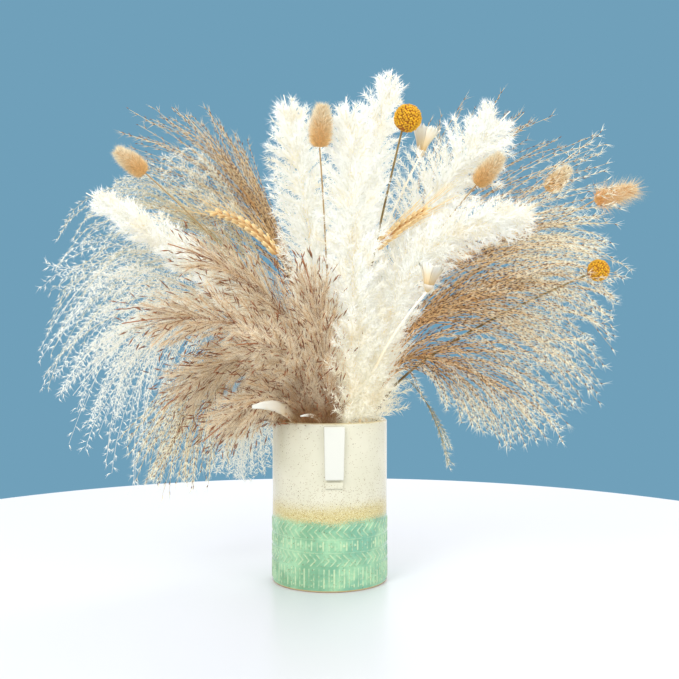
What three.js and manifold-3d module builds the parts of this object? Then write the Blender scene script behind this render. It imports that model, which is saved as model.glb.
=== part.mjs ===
// A vase of dried grasses: bleached and natural pampas plumes with fine grass sprays,
// bunny tails, a foxtail, billy buttons, wheat ears and papery flowers, in a glazed cylinder.
//
// Millimetres, +Z up. The origin is the centre of the vase's foot, on the surface it stands on.
// +X is the right-hand side of the arrangement and -Y is its front, where the vase has its lug.
// Every stem stands on the vase floor, runs straight to its own place in the mouth, and then
// arches to its tip. The stems spread like the ribs of a cone, so no two of them cross.

import * as THREE from 'three';
import { mergeVertices } from 'three/addons/utils/BufferGeometryUtils.js';
import Module from 'manifold-3d';

const wasm = await Module();
wasm.setup();

// ---------------------------------------------------------------- driving dimensions

const VASE_RADIUS = 60;
const VASE_HEIGHT = 168;
const VASE_WALL = 5;
const VASE_FLOOR = 8;
const VASE_SEGMENTS = 48;
const FOOT_BEVEL = 1.5;
const COVE = 4; // the inside corner between wall and floor

const LUG_AZIMUTH = 4.8; // degrees from the front towards +X
const LUG_WIDTH_TOP = 21;
const LUG_WIDTH_BOTTOM = 18.5;
const LUG_TOP = 165;
const LUG_BOTTOM = 112;
const LUG_CORNER = 2.5;
const LUG_PROUD = 4.5; // past the vase's outer radius
const TAB_WIDTH = 18;
const TAB_TOP = 110;
const TAB_BOTTOM = 103;
const TAB_PROUD = 2;
const LUG_BEVEL = 1.2;
const LUG_SUNK = 3; // how far the lug and the tab reach into the wall

const GAP = 0.3; // between pieces that rest on each other
const GATHER = 0.5; // a stem's foot lies this far out, as a share of its place in the mouth

const PLUME_STEM = 1.6; // radius of a plume's bare stem
const PLUME_SIDES = 10;
const PLUME_RING_STEP = 13.5; // distance between two rings of tufts
const PLUME_NECK = 0.38; // radius at the bottom of a plume, as a share of its full radius
const PLUME_WIDEST = 0.45; // where a plume reaches its full radius, as a share of its length
const PLUME_TAPER_START = 0.55;
const PLUME_TAPER_POWER = 1.6;
const PLUME_CALM = 3; // tufts lean less and less over the last third of a plume
const TUFT_VALLEY = 0.52; // radius between the tufts, as a share of the radius at their tips
const TUFT_LEAN = 1.1; // how far a tuft leans along the plume, as a share of the ring step

const SPRAY_STEM = 1.3;
const SPRAY_STEM_SIDES = 5;
const LEADER_ROOT = 1.4; // radius of the fan's middle branch where it leaves the stem
const LEADER_SEAT = 0.98; // share of the stem's arch that the leader starts from
const LEADER_BARE = 0.04; // share of the leader below its first side branches
const LEADER_FORKED = 0.5; // share of the leader that side branches leave from
const BRANCH_SIDES = 3;
const BRANCH_SPIKELETS = 3;
const BRANCH_BARE = 0.34; // share of a branch below its first spikelet
const SPIKELET_BASE = 0.02; // share of a branch that a spikelet sits on
const BRANCH_ROOT = 0.6; // radius where a side branch leaves the leader
const BRANCH_TIP = 0.5;
const BRANCH_FOLLOW = 0.3; // how much a branch first follows its stem rather than its own tip
const SPIKELET_OUT = 2.8; // how far a spikelet stands off its branch
const SPIKELET_LEAN = 5.5;

const THIN_STEM = 1.0;
const STOUT_STEM = 1.4; // a billy button's or a papery flower's
const THIN_STEM_SIDES = 5;
const STEM_STEPS = 4;

const DEPTH_TURN = 2.4; // radians from one branch to the next across a fan's thickness

// Each entry: the stem's place in the mouth, how far it rises before it bends, and its tip.
// length and radius are those of the plume itself; pull makes an arch bend more sharply.
const WHITE_PLUMES = [
  { name: 'white_plume_far_left', mouth: [-29, 13], rise: 120, tip: [-256, -2, 405],
    length: 285, radius: 21 },
  { name: 'white_plume_left', mouth: [-7, 20], rise: 190, tip: [-50, 25, 515],
    length: 330, radius: 22 },
  { name: 'white_plume_front', mouth: [19, -38], rise: 170, tip: [17, -57, 492],
    length: 315, radius: 22 },
  { name: 'white_plume_tall', mouth: [15, 6], rise: 190, tip: [68, 40, 547],
    length: 330, radius: 22 },
  { name: 'white_plume_right', mouth: [31, 26], rise: 190, tip: [204, 78, 510],
    length: 300, radius: 26 },
  { name: 'white_plume_arching', mouth: [38, -20], rise: 215, tip: [212, -60, 371],
    length: 330, radius: 25, pull: 1.2 },
];

const BROWN_PLUMES = [
  { name: 'brown_plume_high', mouth: [-13, -1], rise: 140, tip: [-160, -58, 346],
    length: 210, radius: 18 },
  { name: 'brown_plume_left', mouth: [-25, -16], rise: 130, tip: [-194, -108, 266],
    length: 220, radius: 18 },
  { name: 'brown_plume_low_left', mouth: [-44, -4], rise: 120, tip: [-168, -50, 180],
    length: 190, radius: 17 },
  { name: 'brown_plume_upright', mouth: [-2, -44], rise: 90, tip: [-27, -74, 335],
    length: 160, radius: 15 },
  { name: 'brown_plume_forward', mouth: [-22, -38], rise: 90, tip: [-82, -150, 246],
    length: 170, radius: 16 },
  { name: 'brown_plume_over_rim', mouth: [-36, -26], rise: 58, tip: [-122, -84, 152],
    length: 140, radius: 15 },
];

// A spray's stem ends at its neck. Its branches end on the curve through first, middle and last,
// and lift is how high they arch, as a share of their length. depth is the fan's thickness.
const SPRAYS = [
  { name: 'spray_upper_left', mouth: [-12, 42], rise: 110, neck: [-55, 85, 350], lift: 0.1,
    count: 10, depth: 24, tone: 'tan',
    first: [-236, 105, 497], middle: [-171, 115, 515], last: [-115, 105, 487] },
  { name: 'spray_left', mouth: [-28, 33], rise: 80, neck: [-85, 66, 320], lift: 0.22,
    count: 10, depth: 15, tone: 'tan',
    first: [-304, 62, 296], middle: [-262, 78, 410], last: [-165, 80, 452] },
  { name: 'spray_silver', mouth: [-43, 20], rise: 90, neck: [-112, 36, 290], lift: 0.12,
    count: 10, depth: 13, tone: 'silver',
    first: [-300, 34, 270], middle: [-280, 34, 190], last: [-215, 22, 138] },
  { name: 'spray_hanging_left', mouth: [-46, 8], rise: 70, neck: [-95, 10, 232], lift: 0.12,
    count: 10, depth: 13, tone: 'tan',
    first: [-205, 4, 148], middle: [-180, 4, 106], last: [-135, 4, 118] },
  { name: 'spray_curly_rim', mouth: [-34, 40], rise: 50, neck: [-65, 58, 215], lift: 0.12,
    count: 8, depth: 15, tone: 'silver',
    first: [-135, 52, 120], middle: [-105, 62, 95], last: [-70, 78, 108] },
  { name: 'spray_upper_right', mouth: [16, 44], rise: 110, neck: [88, 112, 352], lift: 0.08,
    count: 10, depth: 22, tone: 'tan',
    first: [140, 128, 520], middle: [231, 136, 522], last: [300, 124, 470] },
  { name: 'spray_right', mouth: [38, 22], rise: 80, neck: [110, 50, 320], lift: 0.1,
    count: 10, depth: 13, tone: 'tan',
    first: [306, 62, 450], middle: [307, 54, 380], last: [290, 50, 345] },
  { name: 'spray_lower_right', mouth: [45, 10], rise: 60, neck: [92, 14, 265], lift: 0.16,
    count: 10, depth: 15, tone: 'tan',
    first: [284, 12, 338], middle: [300, 12, 300], last: [290, 12, 245] },
  { name: 'spray_hanging_right', mouth: [46, -1], rise: 50, neck: [85, 2, 232], lift: 0.14,
    count: 10, depth: 14, tone: 'tan',
    first: [262, 0, 200], middle: [225, -4, 150], last: [165, -4, 155] },
  { name: 'spray_thin_right', mouth: [38, 34], rise: 40, neck: [75, 46, 215], lift: 0.1,
    count: 4, depth: 6, tone: 'green',
    first: [100, 50, 160], middle: [131, 42, 116], last: [152, 38, 160] },
];

// A head on a thin stem: the stem ends at base, and the head runs from there to tip.
const BUNNY_TAILS = [
  { name: 'bunny_tail_left', mouth: [-20, 30], rise: 110,
    base: [-203, 44, 434], tip: [-238, 44, 461], radius: 10.5 },
  { name: 'bunny_tail_middle', mouth: [0, -20], rise: 150,
    base: [-9, -80, 437], tip: [-6, -82, 481], radius: 10.5 },
  { name: 'bunny_tail_right', mouth: [26, 12], rise: 110,
    base: [160, 40, 420], tip: [190, 38, 455], radius: 10.5 },
  { name: 'bunny_tail_back', mouth: [22, 38], rise: 110,
    base: [262, 152, 432], tip: [292, 156, 462], radius: 10 },
];
const EGG_SKEW = 0.8; // below 1, the widest part of an egg-shaped head lies under its middle
const FOXTAIL = {
  name: 'foxtail', mouth: [31, 37], rise: 110, base: [302, 88, 410], tip: [354, 92, 425], radius: 13,
};

const BILLY_BUTTONS = [
  { name: 'billy_button_large', mouth: [20, -12], rise: 100,
    base: [74, -30, 464], tip: [86, -30, 490], radius: 14 },
  { name: 'billy_button_small', mouth: [48, -10], rise: 60,
    base: [262, -38, 317], tip: [283, -38, 325], radius: 11 },
];

const WHEAT_EARS = [
  { name: 'wheat_left', mouth: [-12, 32], rise: 110, base: [-58, 46, 345], tip: [-138, 46, 393] },
  { name: 'wheat_right', mouth: [27, -1], rise: 110, base: [43, -9, 348], tip: [106, -10, 389] },
];
const EAR_RADIUS = 6;
const EAR_TAPER = 0.45; // share of its radius that an ear loses towards its tip
const EAR_SEAT = 0.97; // share of the stem's arch that the ear starts from
const AWN_COUNT = 9;
const AWN_LENGTH = 42;
const AWN_RADIUS = 0.6;
const AWN_SPREAD = 1.7; // an awn's tip lies this many ear radii off the ear's axis
const AWN_FIRST = 0.25; // shares of the ear that awns grow from
const AWN_LAST = 0.88;
const GOLDEN_TURN = 0.618034; // spreads awns round an ear evenly

const PAPER_FLOWERS = [
  { name: 'paper_flower_back', mouth: [6, 32], rise: 110,
    base: [100, 66, 455], tip: [108, 66, 490], radius: 16 },
  { name: 'paper_flower_front', mouth: [31, -33], rise: 60,
    base: [95, -84, 298], tip: [100, -88, 324], radius: 13 },
];
const CALYX_PROFILE = [[0, 1.4], [0.2, 5], [0.3, 5.4]]; // share of the flower's length, radius
const CENTRE_PROFILE = [[0, 2.6], [0.08, 3], [0.2, 2.6]]; // the same, counted from the calyx
const CENTRE_HEIGHT = 0.26;
const PETAL_COUNT = 6;
const PETAL_THICKNESS = 0.9;
const PETAL_STEPS = 4;
const PETAL_ROOT = 0.22; // where petals start, as a share of the flower's length
const PETAL_SEAT = 4.2; // distance of the petals' roots from the flower's axis
const PETAL_FLARE = 1.3; // above 1, petals stay upright at first and open towards their tips
const PETAL_COVER = 0.92; // share of the cup's rim that the petals cover together
const PETAL_ROUNDING = 0.6; // share of a petal where its tip begins to round off
const PETAL_BLUNT = 0.15; // how much of the rounding is cut short at the tip

// ---------------------------------------------------------------- colours

const dried = (color) => new THREE.MeshStandardMaterial({ color, roughness: 0.85, metalness: 0 });
const MATERIALS = {
  glaze: new THREE.MeshStandardMaterial({ color: 0xe9e2d2, roughness: 0.3, metalness: 0 }),
  bleached: dried(0xf4efe4),
  brown: dried(0xb08c6c),
  tan: dried(0xc6a278),
  silver: dried(0xdfe2de),
  green: dried(0x9c9a68),
  straw: dried(0xc9ab6e),
  bunny: dried(0xd9b083),
  yellow: dried(0xdd9a1c),
  wheat: dried(0xd8ab66),
  paper: dried(0xf3ecdd),
  gold: dried(0xd29a3c),
};

// ---------------------------------------------------------------- closed solids from rings

// A closed surface through a stack of rings, each a list of points round the same way, with a
// point at either end. Raised points sit where ring + side is even, so each four-sided patch
// is split between its two low corners and every raised point stays a tuft of its own.
function closeRings(rings, start, end) {
  const sides = rings[0].length;
  const points = [start, ...rings.flat(), end];
  const last = points.length - 1;
  const at = (ring, side) => 1 + ring * sides + (side % sides);
  const faces = [];
  for (let side = 0; side < sides; side += 1) {
    faces.push(0, at(0, side + 1), at(0, side));
    faces.push(last, at(rings.length - 1, side), at(rings.length - 1, side + 1));
  }
  for (let ring = 0; ring < rings.length - 1; ring += 1) {
    for (let side = 0; side < sides; side += 1) {
      const [a, b] = [at(ring, side), at(ring, side + 1)];
      const [c, d] = [at(ring + 1, side + 1), at(ring + 1, side)];
      if ((ring + side) % 2 === 0) {
        faces.push(a, b, d, b, c, d);
      } else {
        faces.push(a, b, c, a, c, d);
      }
    }
  }
  const geometry = new THREE.BufferGeometry().setFromPoints(points);
  geometry.setIndex(faces);
  return geometry;
}

// The point on a ring at angle (radians), at the given radius and pushed along the stem.
function ringPoint({ centre, across, side, along }, angle, radius, lean = 0) {
  return centre.clone()
    .addScaledVector(across, Math.cos(angle) * radius)
    .addScaledVector(side, Math.sin(angle) * radius)
    .addScaledVector(along, lean);
}

function plainRing(frame, sides, radius) {
  return Array.from({ length: sides }, (_, k) => ringPoint(frame, (2 * Math.PI * k) / sides, radius));
}

// A ring whose every other point is raised into a tuft that leans along the stem.
function tuftedRing(frame, sides, radius, valley, lean, ring) {
  return Array.from({ length: sides }, (_, k) => {
    const raised = (ring + k) % 2 === 0;
    const angle = (2 * Math.PI * k) / sides;
    return ringPoint(frame, angle, raised ? radius : radius * valley, raised ? lean : 0);
  });
}

// ---------------------------------------------------------------- stems

// A curve from one point towards a bend and on to another. It stays in one plane.
class Arch extends THREE.Curve {
  constructor(from, bend, to, pull = 1) {
    super();
    Object.assign(this, { from, bend, to, pull });
    this.arcLengthDivisions = 80;
  }

  getPoint(t, target = new THREE.Vector3()) {
    const [a, b, c] = [(1 - t) ** 2, 2 * this.pull * t * (1 - t), t * t];
    return target.set(0, 0, 0)
      .addScaledVector(this.from, a)
      .addScaledVector(this.bend, b)
      .addScaledVector(this.to, c)
      .divideScalar(a + b + c);
  }

  // Centre and axes of a cross-section at a share of the curve's length.
  frameAt(share) {
    const side = new THREE.Vector3().crossVectors(
      this.bend.clone().sub(this.from), this.to.clone().sub(this.from)).normalize();
    const along = this.getTangentAt(share);
    const across = new THREE.Vector3().crossVectors(side, along);
    return { centre: this.getPointAt(share), across, side, along };
  }
}

function stemOf({ mouth, rise, pull }, top) {
  const inMouth = new THREE.Vector3(mouth[0], mouth[1], VASE_HEIGHT);
  const foot = new THREE.Vector3(mouth[0] * GATHER, mouth[1] * GATHER, VASE_FLOOR + GAP);
  const up = inMouth.clone().sub(foot).normalize();
  const bend = inMouth.clone().addScaledVector(up, rise);
  const arch = new Arch(inMouth, bend, new THREE.Vector3(...top), pull);
  return { foot, up, arch, length: arch.getLength() };
}

// The cross-section at the stem's foot, turned as the arch's own sections are. The foot is cut
// square to the stem, so its centre is raised until the lowest edge clears the vase floor.
function footFrame(stem, radius) {
  const frame = stem.arch.frameAt(0);
  const tilt = Math.hypot(stem.up.x, stem.up.y);
  return { ...frame, centre: stem.foot.clone().addScaledVector(stem.up, radius * tilt) };
}

// The rings of a bare stem, from its foot up to a share of its arch.
function stemRings(stem, sides, radius, topShare, steps) {
  const rings = [plainRing(footFrame(stem, radius), sides, radius)];
  for (let k = 0; k <= steps; k += 1) {
    rings.push(plainRing(stem.arch.frameAt((topShare * k) / steps), sides, radius));
  }
  return rings;
}

// ---------------------------------------------------------------- plumes

function plumeProfile(share, radius) {
  const grown = Math.min(1, share / PLUME_WIDEST);
  const past = Math.max(0, (share - PLUME_TAPER_START) / (1 - PLUME_TAPER_START));
  const taper = Math.sqrt(Math.max(0, 1 - past ** PLUME_TAPER_POWER));
  return radius * (PLUME_NECK + (1 - PLUME_NECK) * grown) * taper;
}

// One stalk with its feathery head, whose whole surface is raised into overlapping tufts.
function makePlume(plume) {
  const stem = stemOf(plume, plume.tip);
  const length = Math.min(plume.length, stem.length - PLUME_RING_STEP);
  const bare = stem.length - length;
  const rings = stemRings(stem, PLUME_SIDES, PLUME_STEM, bare / stem.length, 1);
  const count = Math.round(length / PLUME_RING_STEP);
  for (let k = 1; k < count; k += 1) {
    const share = k / count;
    const frame = stem.arch.frameAt((bare + share * length) / stem.length);
    const radius = Math.max(PLUME_STEM, plumeProfile(share, plume.radius));
    const lean = TUFT_LEAN * PLUME_RING_STEP * Math.min(1, PLUME_CALM * (1 - share));
    rings.push(tuftedRing(frame, PLUME_SIDES, radius, TUFT_VALLEY, lean, rings.length));
  }
  return closeRings(rings, footFrame(stem, PLUME_STEM).centre, stem.arch.to);
}

// ---------------------------------------------------------------- sprays

// The point at a share of the curve that passes through the three given points.
function through(first, middle, last, share) {
  const [a, b, c] = [first, middle, last].map((p) => new THREE.Vector3(...p));
  return a.multiplyScalar((1 - share) * (1 - 2 * share))
    .addScaledVector(b, 4 * share * (1 - share))
    .addScaledVector(c, share * (2 * share - 1));
}

// A branch: a fine three-sided shoot. Past its bare start it carries spikelets, each a corner
// drawn out from one ring and closed down again at the next ring, just above it.
function makeBranch(arch, thickness) {
  const rings = [];
  const push = (share, corner) => {
    const frame = arch.frameAt(share);
    const radius = thickness + (BRANCH_TIP - thickness) * share;
    const ring = plainRing(frame, BRANCH_SIDES, radius);
    if (corner !== undefined) {
      const angle = (2 * Math.PI * corner) / BRANCH_SIDES;
      ring[corner] = ringPoint(frame, angle, SPIKELET_OUT, SPIKELET_LEAN);
    }
    rings.push(ring);
  };
  push(0);
  push(BRANCH_BARE / 2);
  for (let k = 0; k < BRANCH_SPIKELETS; k += 1) {
    const share = BRANCH_BARE + ((1 - BRANCH_BARE) * k) / BRANCH_SPIKELETS;
    push(share, k % BRANCH_SIDES);
    push(share + SPIKELET_BASE);
  }
  return closeRings(rings, arch.from, arch.to);
}

// The curve of a branch that leaves the given cross-section and ends at its tip.
function branchArch(root, tip, lift) {
  const chord = tip.clone().sub(root.centre);
  const length = chord.length();
  const bend = root.centre.clone()
    .addScaledVector(root.along, 0.5 * length * BRANCH_FOLLOW)
    .addScaledVector(chord, 0.5 * (1 - BRANCH_FOLLOW));
  bend.z += lift * length;
  return new Arch(root.centre, bend, tip);
}

// A fan: the leader carries on from the stem to the middle tip, and side branches leave it
// in pairs, the outermost pair lowest, so each keeps to its own stretch of the fan.
function makeSpray(spray) {
  const stem = stemOf(spray, spray.neck);
  const stemSolid = closeRings(
    stemRings(stem, SPRAY_STEM_SIDES, SPRAY_STEM, 1, STEM_STEPS), footFrame(stem, SPRAY_STEM).centre,
    stem.arch.to);
  const leader = branchArch(
    stem.arch.frameAt(LEADER_SEAT), new THREE.Vector3(...spray.middle), spray.lift);
  const solids = [solidOf(stemSolid), solidOf(makeBranch(leader, LEADER_ROOT))];
  for (let k = 0; k < spray.count; k += 1) {
    const share = k / (spray.count - 1);
    const outward = Math.abs(2 * share - 1);
    const tip = through(spray.first, spray.middle, spray.last, share);
    tip.y += spray.depth * Math.sin(DEPTH_TURN * k);
    const root = leader.frameAt(LEADER_BARE + LEADER_FORKED * (1 - outward));
    solids.push(solidOf(makeBranch(branchArch(root, tip, spray.lift), BRANCH_ROOT)));
  }
  return geometryOf(solids.reduce((whole, solid) => whole.add(solid)));
}

// ---------------------------------------------------------------- heads on thin stems

function makeThinStem(piece, radius = THIN_STEM) {
  const stem = stemOf(piece, piece.base);
  const top = 1 - GAP / stem.length;
  const rings = stemRings(stem, THIN_STEM_SIDES, radius, top, STEM_STEPS);
  return closeRings(rings, footFrame(stem, radius).centre, stem.arch.getPointAt(top));
}

const headLength = ({ base, tip }) => new THREE.Vector3(...base).distanceTo(new THREE.Vector3(...tip));

// Centre and axes at a share of the way from a head's base to its tip.
function headFrame({ base, tip }, share) {
  const from = new THREE.Vector3(...base);
  const to = new THREE.Vector3(...tip);
  const along = to.clone().sub(from).normalize();
  const side = new THREE.Vector3(0, 1, 0).addScaledVector(along, -along.y).normalize();
  const across = new THREE.Vector3().crossVectors(side, along);
  return { centre: from.lerp(to, share), across, side, along };
}

// A head covered in tufts: the profile gives its radius at a share of its length.
function tuftedHead(head, { sides, count, valley, lean, profile }) {
  const rings = [];
  for (let k = 1; k < count; k += 1) {
    const share = k / count;
    rings.push(tuftedRing(headFrame(head, share), sides, profile(share), valley, lean, k));
  }
  return closeRings(rings, headFrame(head, 0).centre, headFrame(head, 1).centre);
}

const eggProfile = (radius) => (share) => radius * Math.sqrt(Math.sin(Math.PI * share ** EGG_SKEW));
const ballProfile = (radius) => (share) => radius * Math.sqrt(1 - (2 * share - 1) ** 2);

function makeBunnyTail(head) {
  return tuftedHead(head, { sides: 10, count: 8, valley: 0.78, lean: 4, profile: eggProfile(head.radius) });
}

function makeFoxtailHead(head) {
  return tuftedHead(head, { sides: 12, count: 10, valley: 0.5, lean: 6, profile: eggProfile(head.radius) });
}

function makeBillyButton(head) {
  return tuftedHead(head, { sides: 14, count: 8, valley: 0.93, lean: 0, profile: ballProfile(head.radius) });
}

// ---------------------------------------------------------------- wheat

// A tapering three-sided needle.
function makeNeedle(from, to, radius) {
  const head = { base: from.toArray(), tip: to.toArray() };
  return closeRings([plainRing(headFrame(head, 0.05), 3, radius)], from, to);
}

// An ear of two braided rows of grains, with its awns, on one stem.
function makeWheat(wheat) {
  const stem = stemOf(wheat, wheat.base);
  const stalk = closeRings(
    stemRings(stem, THIN_STEM_SIDES, THIN_STEM, 1, STEM_STEPS), footFrame(stem, THIN_STEM).centre,
    stem.arch.to);
  const ear = tuftedHead({ ...wheat, base: stem.arch.getPointAt(EAR_SEAT).toArray() }, {
    sides: 8,
    count: 14,
    valley: 0.55,
    lean: 5,
    profile: (share) => EAR_RADIUS * (1 - EAR_TAPER * share ** 2),
  });
  const solids = [solidOf(stalk), solidOf(ear)];
  for (let k = 0; k < AWN_COUNT; k += 1) {
    const frame = headFrame(wheat, AWN_FIRST + ((AWN_LAST - AWN_FIRST) * k) / (AWN_COUNT - 1));
    const angle = 2 * Math.PI * ((k * GOLDEN_TURN) % 1);
    const to = ringPoint(frame, angle, EAR_RADIUS * AWN_SPREAD, AWN_LENGTH);
    solids.push(solidOf(makeNeedle(frame.centre, to, AWN_RADIUS)));
  }
  return geometryOf(solids.reduce((whole, solid) => whole.add(solid)));
}

// ---------------------------------------------------------------- papery flowers

// A thin curved blade, as wide as its share of the cup, and rounded off at its tip.
function makePetal(flower, angle) {
  const rings = [];
  for (let k = 0; k <= PETAL_STEPS; k += 1) {
    const share = k / PETAL_STEPS;
    const frame = headFrame(flower, PETAL_ROOT + (1 - PETAL_ROOT) * share);
    const out = PETAL_SEAT + (flower.radius - PETAL_SEAT) * share ** PETAL_FLARE;
    const rounded = Math.max(0, share - PETAL_ROUNDING) / (1 - PETAL_ROUNDING + PETAL_BLUNT / 2);
    const spread = ((PETAL_COVER * Math.PI) / PETAL_COUNT) * Math.sqrt(1 - rounded ** 2);
    rings.push([
      ringPoint(frame, angle - spread, out),
      ringPoint(frame, angle, out + PETAL_THICKNESS),
      ringPoint(frame, angle + spread, out),
      ringPoint(frame, angle, out - PETAL_THICKNESS / 2),
    ]);
  }
  const middle = (ring) => ring[1].clone().lerp(ring[3], 0.5);
  return closeRings(rings, middle(rings[0]), middle(rings.at(-1)));
}

// Stem, calyx and papery petals, which grow together.
function makePaperFlower(flower) {
  const stem = stemOf(flower, flower.base);
  const stalk = closeRings(
    stemRings(stem, THIN_STEM_SIDES, STOUT_STEM, 1, STEM_STEPS), footFrame(stem, STOUT_STEM).centre,
    stem.arch.to);
  const calyx = closeRings(
    CALYX_PROFILE.map(([share, radius]) => plainRing(headFrame(flower, share), 10, radius)),
    headFrame(flower, -0.05).centre, headFrame(flower, CALYX_PROFILE.at(-1)[0]).centre);
  const solids = [solidOf(stalk), solidOf(calyx)];
  for (let k = 0; k < PETAL_COUNT; k += 1) {
    solids.push(solidOf(makePetal(flower, (2 * Math.PI * k) / PETAL_COUNT)));
  }
  return geometryOf(solids.reduce((whole, solid) => whole.add(solid)));
}

// The golden disc of florets in the middle of a papery flower.
function makeFlowerCentre(flower) {
  const start = CALYX_PROFILE.at(-1)[0] + GAP / headLength(flower);
  const rings = CENTRE_PROFILE.map(
    ([share, radius], k) => tuftedRing(headFrame(flower, start + share), 10, radius, 0.85, 0, k));
  return closeRings(
    rings, headFrame(flower, start).centre, headFrame(flower, start + CENTRE_HEIGHT).centre);
}

// ---------------------------------------------------------------- vase

function makeLug(widthTop, widthBottom, top, bottom, proud) {
  const [t, b] = [widthTop / 2, widthBottom / 2];
  const shape = new THREE.Shape();
  shape.moveTo(-b + LUG_CORNER, bottom);
  shape.lineTo(b - LUG_CORNER, bottom);
  shape.quadraticCurveTo(b, bottom, b, bottom + LUG_CORNER);
  shape.lineTo(t, top - LUG_CORNER);
  shape.quadraticCurveTo(t, top, t - LUG_CORNER, top);
  shape.lineTo(-t + LUG_CORNER, top);
  shape.quadraticCurveTo(-t, top, -t, top - LUG_CORNER);
  shape.lineTo(-b, bottom + LUG_CORNER);
  shape.quadraticCurveTo(-b, bottom, -b + LUG_CORNER, bottom);
  const bevel = Math.min(LUG_BEVEL, proud / 2);
  const geometry = new THREE.ExtrudeGeometry(shape, {
    depth: LUG_SUNK + proud - bevel,
    bevelEnabled: true,
    bevelSize: bevel,
    bevelOffset: -bevel,
    bevelThickness: bevel,
    bevelSegments: 1,
    curveSegments: 3,
  });
  geometry.rotateX(Math.PI / 2);
  geometry.translate(0, -(VASE_RADIUS - LUG_SUNK), 0);
  geometry.rotateZ(THREE.MathUtils.degToRad(LUG_AZIMUTH));
  return geometry;
}

function makeVase() {
  const [outer, inner] = [VASE_RADIUS, VASE_RADIUS - VASE_WALL];
  const lip = VASE_WALL / 2;
  const chamfer = lip * (1 - Math.SQRT1_2); // from the corner to the middle of its rounding
  const profile = [
    [0, 0], [outer - FOOT_BEVEL, 0], [outer, FOOT_BEVEL],
    [outer, VASE_HEIGHT - lip], [outer - chamfer, VASE_HEIGHT - chamfer],
    [outer - lip, VASE_HEIGHT],
    [inner + chamfer, VASE_HEIGHT - chamfer], [inner, VASE_HEIGHT - lip],
    [inner, VASE_FLOOR + COVE], [inner - COVE, VASE_FLOOR], [0, VASE_FLOOR],
  ];
  const lathe = new THREE.LatheGeometry(profile.map(([r, z]) => new THREE.Vector2(r, z)), VASE_SEGMENTS);
  lathe.rotateX(Math.PI / 2);
  const lug = makeLug(LUG_WIDTH_TOP, LUG_WIDTH_BOTTOM, LUG_TOP, LUG_BOTTOM, LUG_PROUD);
  const tab = makeLug(TAB_WIDTH, TAB_WIDTH, TAB_TOP, TAB_BOTTOM, TAB_PROUD);
  return geometryOf([lathe, lug, tab].map(solidOf).reduce((whole, solid) => whole.add(solid)));
}

// ---------------------------------------------------------------- solids to join

// A closed manifold from a geometry: shared points are merged, empty triangles are dropped,
// and the faces are turned outwards if the shape came out inside out.
function solidOf(geometry) {
  const bare = geometry.clone();
  bare.deleteAttribute('normal');
  bare.deleteAttribute('uv');
  const merged = mergeVertices(bare, 1e-4);
  const index = merged.getIndex().array;
  const faces = [];
  for (let k = 0; k < index.length; k += 3) {
    const [a, b, c] = [index[k], index[k + 1], index[k + 2]];
    if (a !== b && b !== c && c !== a) {
      faces.push(a, b, c);
    }
  }
  const vertProperties = new Float32Array(merged.getAttribute('position').array);
  const build = (triVerts) => new wasm.Manifold(new wasm.Mesh({ numProp: 3, vertProperties, triVerts }));
  const solid = build(new Uint32Array(faces));
  if (solid.volume() > 0) {
    return solid;
  }
  const turned = [];
  for (let k = 0; k < faces.length; k += 3) {
    turned.push(faces[k], faces[k + 2], faces[k + 1]);
  }
  return build(new Uint32Array(turned));
}

function geometryOf(solid) {
  const mesh = solid.getMesh();
  const geometry = new THREE.BufferGeometry();
  geometry.setAttribute('position', new THREE.BufferAttribute(new Float32Array(mesh.vertProperties), 3));
  geometry.setIndex(new THREE.BufferAttribute(new Uint32Array(mesh.triVerts), 1));
  return geometry;
}

// ---------------------------------------------------------------- assembly

const bouquet = new THREE.Group();

function place(name, geometry, material) {
  geometry.computeVertexNormals();
  const mesh = new THREE.Mesh(geometry, material);
  mesh.name = name;
  bouquet.add(mesh);
}

place('vase', makeVase(), MATERIALS.glaze);
WHITE_PLUMES.forEach((plume) => place(plume.name, makePlume(plume), MATERIALS.bleached));
BROWN_PLUMES.forEach((plume) => place(plume.name, makePlume(plume), MATERIALS.brown));
SPRAYS.forEach((spray) => place(spray.name, makeSpray(spray), MATERIALS[spray.tone]));
BUNNY_TAILS.forEach((head) => {
  place(head.name, makeBunnyTail(head), MATERIALS.bunny);
  place(`${head.name}_stem`, makeThinStem(head), MATERIALS.straw);
});
place(FOXTAIL.name, makeFoxtailHead(FOXTAIL), MATERIALS.bunny);
place(`${FOXTAIL.name}_stem`, makeThinStem(FOXTAIL), MATERIALS.straw);
BILLY_BUTTONS.forEach((head) => {
  place(head.name, makeBillyButton(head), MATERIALS.yellow);
  place(`${head.name}_stem`, makeThinStem(head, STOUT_STEM), MATERIALS.green);
});
WHEAT_EARS.forEach((wheat) => place(wheat.name, makeWheat(wheat), MATERIALS.wheat));
PAPER_FLOWERS.forEach((flower) => {
  place(flower.name, makePaperFlower(flower), MATERIALS.paper);
  place(`${flower.name}_centre`, makeFlowerCentre(flower), MATERIALS.gold);
});

export default bouquet;
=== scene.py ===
"""The looks of a vase of dried grasses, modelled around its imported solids.

Metres, +Z up, in the frame of the solids: the origin is the centre of the vase's foot, +X is the
arrangement's right-hand side and -Y its front. Each piece stands for one solid and keeps its form,
with the same stem and the same reach, and adds the hairs, spikelets and florets of the real plant.
"""

import math
import zlib

import bmesh
import bpy
import numpy as np
from mathutils import Matrix


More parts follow.
